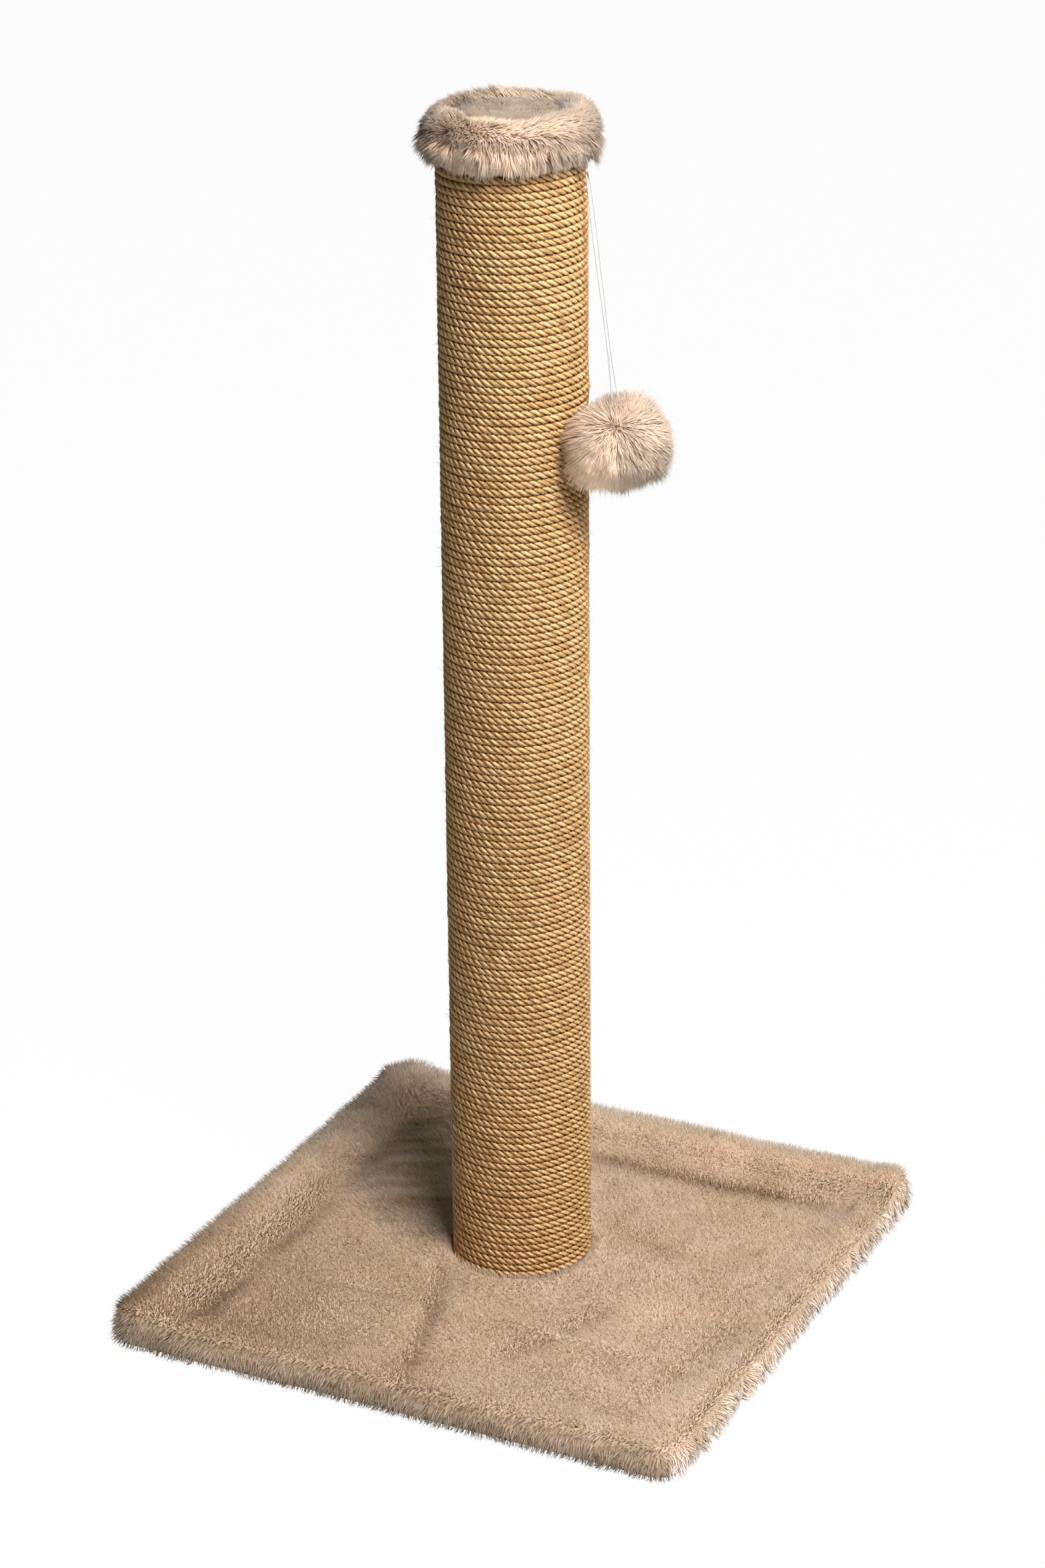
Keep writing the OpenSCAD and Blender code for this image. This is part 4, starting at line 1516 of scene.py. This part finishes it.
    def comb_band(self, roots: Array, up: Array) -> Array:
        """The way in which the band's pile lies: round the top, down the outside, off the seam."""
        out = np.hypot(roots[:, 0], roots[:, 1])[:, None]
        outward = level(roots[:, 0], roots[:, 1]) / np.maximum(out, 1e-6)
        around = level(-outward[:, 1], outward[:, 0])
        over = ease((roots[:, 2] - self.seam_z + 0.003) / 0.010)[:, None]
        aslant = 0.20 + 0.5 * wander(roots, 0.02, 76) + 0.7 * wander(roots, 0.006, 78)
        down = np.array([0.0, 0.0, -1.25]) + around * aslant[:, None]
        down = down - 0.42 * outward * ease((self.low + 0.014 - roots[:, 2:3]) / 0.010)
        round_top = around * (0.9 + 0.5 * wander(roots, 0.03, 79))[:, None] + outward * 0.3
        lay = (1 - over) * down + over * round_top
        off = self.off_seam(roots)
        part = (bell(off, 0.013) * np.sign(off))[:, None]
        height = ((roots[:, 2] - self.seam_z) / 0.010)[:, None]
        return lay * (1 - 0.6 * np.abs(part)) + 1.4 * part * around + np.abs(part) * height * UP

    def longer(self, roots: Array) -> Array:
        """How much longer or shorter the pile is: short at the band's lower edge."""
        return 0.52 + 0.48 * ease((roots[:, 2] - self.low + 0.001) / 0.012)

    def tint(self, roots: Array) -> Array:
        """How light the pile is: painted shade in the pit where the band's ends meet and on its
        left and right sides, over random patches.
        """
        x, y, z = roots.T
        off = self.off_seam(roots)
        # Painted shade in the pit.
        pit = np.exp(-(((off + 0.001) / 0.0040) ** 2 + ((z - self.seam_z) / 0.0050) ** 2))
        # Painted shade on the band's right and left sides.
        right = ease((0.9 * x + 0.1 * y - 0.026) / 0.035)
        left = ease((-0.9 * x - 0.2 * y - 0.020) / 0.035)
        patchy = 1 + 0.06 * wander(roots, 0.010, 86)
        return (1 - 0.6 * pit) * patchy * (1 - 0.28 * right - 0.46 * left)

    def on_rim(self, p: Array, n: Array) -> Array:
        """Whether a tuft stands on the upper part of the band's outside."""
        outer = np.hypot(p[:, 0], p[:, 1]) > self.skirt + 0.0009
        outside = outer | (p[:, 2] > self.board_top + 0.004)
        return (outside & (p[:, 2] > self.seam_z - 0.0030)).astype(float)

    def on_skirt(self, p: Array, n: Array) -> Array:
        """Whether a tuft stands on the lower part, clear of the gap for the cord."""
        outer = np.hypot(p[:, 0], p[:, 1]) > self.skirt + 0.0009
        outside = outer | (p[:, 2] > self.board_top + 0.004)
        clear = ((p[:, 0] < 0.050) | (np.abs(p[:, 1]) > 0.0075)
                 | ((p[:, 2] > 0.952) & (n[:, 2] > -0.3)))
        return (outside & clear & (p[:, 2] <= self.seam_z - 0.0030)).astype(float)

    def dress(self, fur: bpy.types.Material) -> None:
        """Builds the cap and puts it on the stand."""
        band, disc = self.band(), self.disc()
        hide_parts("cap_band")
        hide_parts("cap_cover")
        for cloth, pile in ((band, 0.14), (disc, 0.20)):
            mark(cloth.data, "pile", np.array([pile]))
            mark(cloth.data, "tone", 0.85 + 0.1 * wander(points_of(cloth.data), 0.012, 77))
            self.pieces.append(cloth)
        keep_off = clear_of_post(POST_FACE + 0.0008, 0.90, 0.9460)
        growths = (
            (Pile("cap_rim_pile", 52000, 0.0084, 0.00040, 81, Tuft(Growth.BENT), curl=0.40,
                  clump=0.011, gather=34, pull=0.5, uneven=0.35, droop=0.06, soft=0.64, tone=0.88),
             band, self.comb_band, self.on_rim),
            # The skirt's pile has a higher tone than the rim's: painted light that lifts the shade
            # under the rim's overhang.
            (Pile("cap_skirt_pile", 52000, 0.0112, 0.00040, 82, Tuft(Growth.BENT), curl=0.45,
                  clump=0.012, stray=0.18, gather=40, pull=0.90, uneven=0.28, droop=0.14, soft=0.42,
                  tone=1.12, tall=1.7, raised=0.34, vary=0.18, ragged=0.24),
             band, self.comb_band, self.on_skirt),
            (Pile("cap_disc_pile", 26000, 0.0055, 0.00042, 84, curl=0.3, clump=0.010, gather=9,
                  pull=0.35, uneven=0.35, soft=0.72, tone=0.52),
             disc, lambda p, n: np.array([0.4, -0.4, 0.0]) + 0.3 * wander_ways(p, 0.02, 85),
             lambda p, n: (n[:, 2] > 0.3).astype(float)),
        )
        for pile, cloth, comb, where in growths:
            self.pieces.append(pile.grow(cloth, comb, where, keep_off, self.longer, self.tint))
        for piece in self.pieces:
            piece.data.materials.append(fur)
            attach(piece, "stand")
        log.info("cap: %d pieces", len(self.pieces))


# The toy


@dataclass
class HangingCord:
    """The doubled elastic cord: one unbroken loop from the knot through the tie's eye.

    Attributes:
        pivot: Where the toy hangs from.
        lean: How far it leans out of the vertical.
        thickness: The cord's diameter.
        route: Points of the cord below the pivot, outwards and along the cord.
    """

    pivot: tuple[float, float, float] = (0.0620, 0.0, 0.9330)
    lean: float = math.radians(7.4974)
    thickness: float = 0.0012
    route: Section = (
        (0.0012, -0.0032), (0.0015, -0.010), (0.0018, -0.022), (0.0019, -0.038),
        (0.0018, -0.055), (0.0016, -0.072), (0.0015, -0.090), (0.0014, -0.108),
        (0.0014, -0.126), (0.0015, -0.144), (0.0019, -0.158), (0.0024, -0.168),
        (0.0025, -0.173), (0.0018, -0.1753), (0.0, -0.1763), (-0.0018, -0.1753),
        (-0.0025, -0.173), (-0.0024, -0.168), (-0.0018, -0.158), (-0.0013, -0.144),
        (-0.0011, -0.126), (-0.0012, -0.108), (-0.0015, -0.090), (-0.0018, -0.072),
        (-0.0019, -0.055), (-0.0018, -0.038), (-0.0015, -0.022), (-0.0013, -0.010),
        (-0.0012, -0.0032))

    def placed(self, out: float, along: float) -> Vector:
        """A point of the hanging toy, from its place in the pivot's own frame."""
        turn = Matrix.Rotation(-self.lean, 3, "Y")
        return Vector(self.pivot) + turn @ Vector((out, 0.0, along))

    def path(self) -> list[Vector]:
        """The cord's whole line, smooth through its points."""
        given = [self.placed(*point) for point in self.route]
        line: list[Vector] = []
        for k, (a, b) in enumerate(zip(given, given[1:])):
            before, after = given[max(k - 1, 0)], given[min(k + 2, len(given) - 1)]
            for u in (0.0, 0.25, 0.5, 0.75):
                line.append(0.5 * (2 * a + (b - before) * u
                                   + (2 * before - 5 * a + 4 * b - after) * u * u
                                   + (3 * a - before - 3 * b + after) * u ** 3))
        return line + [given[-1]]

    def build(self, elastic: bpy.types.Material, knot: bpy.types.Object) -> bpy.types.Object:
        """Builds the cord as a closed tube that stretches from the knot to the tie.

        Args:
            elastic: Its material.
            knot: The knot at its upper end; not used.

        Returns:
            The piece.
        """
        line = self.path()
        curve = bpy.data.curves.new("cord_line", "CURVE")
        curve.dimensions = "3D"
        curve.bevel_depth = self.thickness / 2
        curve.bevel_resolution = 3
        curve.use_fill_caps = True
        spline = curve.splines.new("POLY")
        spline.points.add(len(line) - 1)
        for point, at in zip(spline.points, line):
            point.co = (at.x, at.y, at.z, 1.0)
        bm = bmesh_of(linked("cord_line", curve))
        bmesh.ops.remove_doubles(bm, verts=bm.verts[:], dist=1e-6)
        bmesh.ops.recalc_face_normals(bm, faces=bm.faces[:])
        made = object_from(bm, "doubled_elastic")
        made.data.materials.append(elastic)
        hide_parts("toy_cord")
        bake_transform(made)
        return made


@dataclass
class FurBall:
    """The fur ball: an egg of cloth, drawn in where it is sewn shut, with pile all round.

    Attributes:
        centre: Its middle.
        lean: How far its axis leans out of the vertical.
        across: Half of its cloth's width.
        tall: Half of its cloth's height.
        shoulder: How square its shoulders are: 2 is an ellipse, and more is squarer.
        raise_by: How far the cloth sits above the middle, along the axis.
        sewn: The way from its middle to where it is sewn shut.
        reach: The way in which its pile is longest, and towards which painted light brightens it.
    """

    centre: tuple[float, float, float] = (0.0894, 0.0, 0.7248)
    lean: float = math.radians(7.4974)
    across: float = 0.0318
    tall: float = 0.0262
    shoulder: float = 2.5
    raise_by: float = 0.0036
    sewn: tuple[float, float, float] = (0.20, -0.62, 0.76)
    reach: tuple[float, float, float] = (-0.70, -0.70, -0.14)
    pieces: list[bpy.types.Object] = field(default_factory=list)

    def ground(self) -> bpy.types.Object:
        """The ball's cloth, lumpy and drawn in at the sewn place."""
        bm = bmesh.new()
        bmesh.ops.create_icosphere(bm, subdivisions=5, radius=1.0)
        turn = Matrix.Rotation(-self.lean, 3, "Y")
        power = self.shoulder
        for vert in bm.verts:
            way = vert.co.normalized()
            square = (math.hypot(way.x, way.y) ** power + abs(way.z) ** power) ** (-1 / power)
            vert.co = turn @ (square * Vector((way.x * self.across, way.y * self.across,
                                               way.z * self.tall)))
        made = object_from(bm, "ball_cloth")
        points = points_of(made.data)
        ways = unit(points)
        grow = 0.985 + 0.05 * wander(points, 0.020, 91) - 0.03 * self.near_sewn(ways, 0.05)
        far = 0.030 * ease((ways[:, 0] - 0.2) / 0.5)
        placed = points * np.minimum(grow - far, 1.0 - far)[:, None] + np.array(self.centre)
        placed += self.raise_by * np.array([-math.sin(self.lean), 0.0, math.cos(self.lean)])
        set_points(made.data, placed)
        return made

    def near_sewn(self, ways: Array, width: float) -> Array:
        """How near each way from the middle is to the sewn place."""
        return np.exp(-((1 - ways @ unit(np.array(self.sewn))) / width))

    def longer(self, roots: Array) -> Array:
        """How much longer or shorter the pile is at each place."""
        ways = unit(roots - np.array(self.centre))
        towards = np.maximum(ways @ unit(np.array(self.reach)), 0.0)
        top = ease((ways[:, 2] - 0.86) / 0.12)
        return (1 + 0.60 * towards ** 3 - 0.08 * self.near_sewn(ways, 0.03) + 0.12 * top
                + 0.22 * wander(roots, 0.014, 93))

    def tint(self, roots: Array) -> Array:
        """How light the pile is: painted light on its lower side towards the post, and painted
        shade towards its top and at the sewn place.
        """
        ways = unit(roots - np.array(self.centre))
        # Painted light on the lower side towards the post, which lies in shade.
        lit = ease((ways @ unit(np.array(self.reach)) + 0.04) / 0.98)
        # Painted shade towards the top and at the sewn place.
        return (0.89 + 0.85 * lit - 0.14 * ease((ways[:, 2] - 0.6) / 0.3)
                - 0.02 * self.near_sewn(ways, 0.04))

    def comb(self, roots: Array, up: Array) -> Array:
        """The way in which the pile lies: away from the sewn place, and a little down."""
        ways = unit(roots - np.array(self.centre))
        sewn = unit(np.array(self.sewn))
        towards = dots(ways, np.tile(sewn, (len(ways), 1)))
        away = -unit(sewn - towards * ways)
        parted = ease((1 - towards) / 0.016)
        strength = (1.1 * np.exp(-((1 - towards) / 0.5)) + 0.34) * parted
        strength = strength * (1 - 0.65 * ease((ways[:, 2:3] - 0.80) / 0.12))
        return strength * away + parted * np.array([0.0, 0.0, -0.2])

    def dress(self, fur: bpy.types.Material) -> None:
        """Builds the ball and hangs it on its body."""
        cloth = self.ground()
        mark(cloth.data, "pile", np.array([0.16]))
        mark(cloth.data, "tone", np.array([0.9]))
        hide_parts("pompom_cover")
        keep_off = clear_of_post(POST_FACE + 0.0008)
        pile = Pile("ball_pile", 19600, 0.0118, 0.00043, 92, Tuft(Growth.BENT), curl=0.40,
                    gather=38, pull=0.64, stray=0.18, uneven=0.40, droop=0.06, soft=0.52, tone=1.05,
                    raised=0.25, vary=0.10)
        tufts = pile.grow(cloth, self.comb, None, keep_off, self.longer, self.tint)
        for piece in (cloth, tufts):
            piece.data.materials.append(fur)
            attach(piece, "pompom")
            self.pieces.append(piece)
        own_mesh(tufts)
        log.info("ball: %d pieces", len(self.pieces))


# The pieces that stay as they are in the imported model


@dataclass
class HiddenFittings:
    """Boards, tube, plugs, staples, bolt and lining, each with its own finish."""

    nodes: dict[str, bpy.types.Object]

    def dress(self) -> None:
        """Gives every carried-over node its material."""
        steel = MetalFinish("zinc_plate", (0.62, 0.64, 0.66), (0.46, 0.48, 0.50), 0.32)
        wire = MetalFinish("staple_wire", (0.66, 0.66, 0.68), (0.52, 0.52, 0.53), 0.28)
        brass = MetalFinish("turned_brass", (0.75, 0.55, 0.24), (0.58, 0.41, 0.18), 0.25)
        black = ClothFinish("black_lining", (0.035, 0.034, 0.034), (0.012, 0.012, 0.012), 700.0)
        white = ClothFinish("white_wadding", (0.88, 0.88, 0.87), (0.74, 0.74, 0.73), 300.0, 0.3)
        thread = ClothFinish("waxed_thread", (0.84, 0.82, 0.77), (0.60, 0.58, 0.54), 2500.0, 0.5)
        shown = (
            (ChipFinish(), ("base_board", "cap_board")),
            (PineFinish(), ("bottom_plug", "top_plug")),
            (KraftFinish(), ("post_tube",)), (black, ("base_lining",)),
            (white, ("pompom_filling",)), (thread, ("pompom_tie",)), (brass, ("threaded_insert",)),
            (steel, ("post_bolt", "bolt_washer", "cap_screws")),
            (wire, ("cover_staples", "plug_staples", "rope_staples", "cap_staples", "cord_staple")),
        )
        for finish, names in shown:
            self.coat(finish.make(), *names)

    def coat(self, material: bpy.types.Material, *names: str) -> None:
        """Puts one material on some nodes."""
        for node in (self.nodes[name] for name in names):
            if not node.material_slots:
                node.data.materials.append(material)
            for slot in node.material_slots:
                slot.material = material


# The room, the lamps and the camera


@dataclass
class Studio:
    """A pale floor, soft lamps and the camera at the photograph's view.

    Attributes:
        eye: Where the camera stands.
        azimuth: Its direction round the vertical.
        fall: How far it looks down.
        roll: How far it is turned about its own view.
        lens: Its focal length for a sensor 36 mm long.
    """

    eye: tuple[float, float, float] = (1.31684, -2.64019, 1.65701)
    azimuth: float = math.radians(26.435)
    fall: float = math.radians(22.50)
    roll: float = math.radians(-0.548)
    lens: float = 93.24

    def camera(self) -> bpy.types.Object:
        """Makes the camera and takes the view from it."""
        right = Vector((math.cos(self.azimuth), math.sin(self.azimuth), 0.0))
        ahead = Vector((-right.y * math.cos(self.fall), right.x * math.cos(self.fall),
                        -math.sin(self.fall)))
        high = right.cross(ahead)
        right_turned = math.cos(self.roll) * right + math.sin(self.roll) * high
        high_turned = -math.sin(self.roll) * right + math.cos(self.roll) * high
        lens = bpy.data.cameras.new("camera")
        lens.lens = self.lens
        lens.sensor_width = 36.0
        lens.clip_end = 50.0
        made = linked("camera", lens)
        turned = Matrix((right_turned, high_turned, -ahead)).transposed().to_4x4()
        made.matrix_world = Matrix.Translation(self.eye) @ turned
        bpy.context.scene.camera = made
        return made

    @staticmethod
    def lamp(name: str, power: float, size: float, at: tuple[float, float, float],
             towards: tuple[float, float, float], colour: Colour) -> None:
        """Stands one soft lamp and points it.

        Args:
            name: Its name.
            power: Its power in watts.
            size: Width of its round face.
            at: Where it stands.
            towards: What it points to.
            colour: Its colour.
        """
        light = bpy.data.lights.new(name, "AREA")
        light.energy = power
        light.shape = "DISK"
        light.size = size
        light.color = colour
        way = Vector(towards) - Vector(at)
        turn = way.to_track_quat("-Z", "Y").to_matrix().to_4x4()
        linked(name, light).matrix_world = Matrix.Translation(at) @ turn

    @staticmethod
    def seen(nodes: Nodes) -> bpy.types.NodeSocket:
        """One where a ray is seen straight, in a mirror or through glass."""
        path = nodes.add("LightPath")
        some = nodes.math("MAXIMUM", path["Is Camera Ray"], path["Is Glossy Ray"])
        return nodes.math("MAXIMUM", some, path["Is Transmission Ray"])

    def sky(self) -> None:
        """A surround seen as white, whose light is soft, faintly green and weaker on the left."""
        world = bpy.data.worlds.new("surround")
        bpy.context.scene.world = world
        world.use_nodes = True
        nodes = Nodes(world.node_tree)
        back = world.node_tree.nodes["Background"]
        tint = nodes.blend(self.seen(nodes), (0.94, 1.0, 0.84), (1.0, 1.0, 1.0))
        nodes.join(tint, back.inputs["Color"])
        way = nodes.add("SeparateXYZ", {0: nodes.add("TexCoord")["Generated"]})
        soft = nodes.spread(way["Z"], 0.0, 1.0, 0.02, 0.17)
        shaded = nodes.math("MULTIPLY", soft, nodes.spread(way["X"], -0.9, 0.2, 0.35, 1.0))
        nodes.join(nodes.math("MAXIMUM", shaded, self.seen(nodes)), back.inputs["Strength"])

    def floor(self) -> None:
        """A pale floor that keeps a light shadow of the object."""
        bm = bmesh.new()
        bmesh.ops.create_grid(bm, x_segments=8, y_segments=8, size=6.0)
        made = object_from(bm, "floor")
        material = bpy.data.materials.new("pale_floor")
        material.use_nodes = True
        tree = material.node_tree
        nodes = Nodes(tree)
        tree.nodes.remove(tree.nodes["Principled BSDF"])
        matt = nodes.add("BsdfDiffuse", {"Color": (0.62, 0.62, 0.61)})[0]
        glow = nodes.add("Emission", {"Color": (1.0, 1.0, 1.0), "Strength": 1.0})[0]
        share = nodes.math("MULTIPLY", self.seen(nodes), 0.972)
        mixed = nodes.add("MixShader", {0: share, 1: matt, 2: glow})[0]
        nodes.join(mixed, tree.nodes["Material Output"].inputs["Surface"])
        made.data.materials.append(material)

    def light(self) -> None:
        """Sets up the lamps, the surround, the floor and the colour handling."""
        self.lamp("key_lamp", 118.0, 1.15, (1.34, -1.04, 2.70), (0.0, 0.0, 0.42),
                  (1.0, 0.985, 0.96))
        self.lamp("side_lamp", 11.0, 1.2, (1.90, 0.27, 1.60), (0.0, 0.0, 0.40), (1.0, 0.99, 0.97))
        self.sky()
        self.floor()
        bpy.context.scene.view_settings.view_transform = "Standard"


def main() -> None:
    """Builds every part of the scene in order."""
    logging.basicConfig(level=logging.INFO, format="%(message)s")
    for other in list(bpy.data.objects):
        bpy.data.objects.remove(other)
    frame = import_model()
    nodes = frame["nodes"]
    studio = Studio()
    studio.camera()
    elastic = ElasticFinish().make()
    fittings = HiddenFittings(nodes)
    fittings.dress()
    fittings.coat(elastic, "cord_knot", "cord_root")
    HangingCord().build(elastic, nodes["cord_knot"])
    fur = FurFinish("base_fur", tip=(0.84, 0.70, 0.575), warm=0.6)
    # A darker copy of the base fur for the front side's pile: painted shade on the side that the
    # lamp lights less.
    edge = FurFinish("base_edge_fur", root=(0.13, 0.085, 0.045), body=(0.50, 0.36, 0.24),
                     deep=0.50, warm=0.5)
    FurBase().dress(fur.make(), edge.make())
    RopeWinding().dress(RopeFinish().make(), FibreFinish().make())
    cap = FurFinish("cap_fur", root=(0.20, 0.13, 0.085), patch=0.06, blush=(0.74, 0.47, 0.36),
                    deep=0.48)
    FurCap().dress(cap.make())
    FurBall().dress(FurFinish("ball_fur", patch=0.06, blush=(0.76, 0.49, 0.37), deep=0.40).make())
    studio.light()


if __name__ == "__main__":
    main()
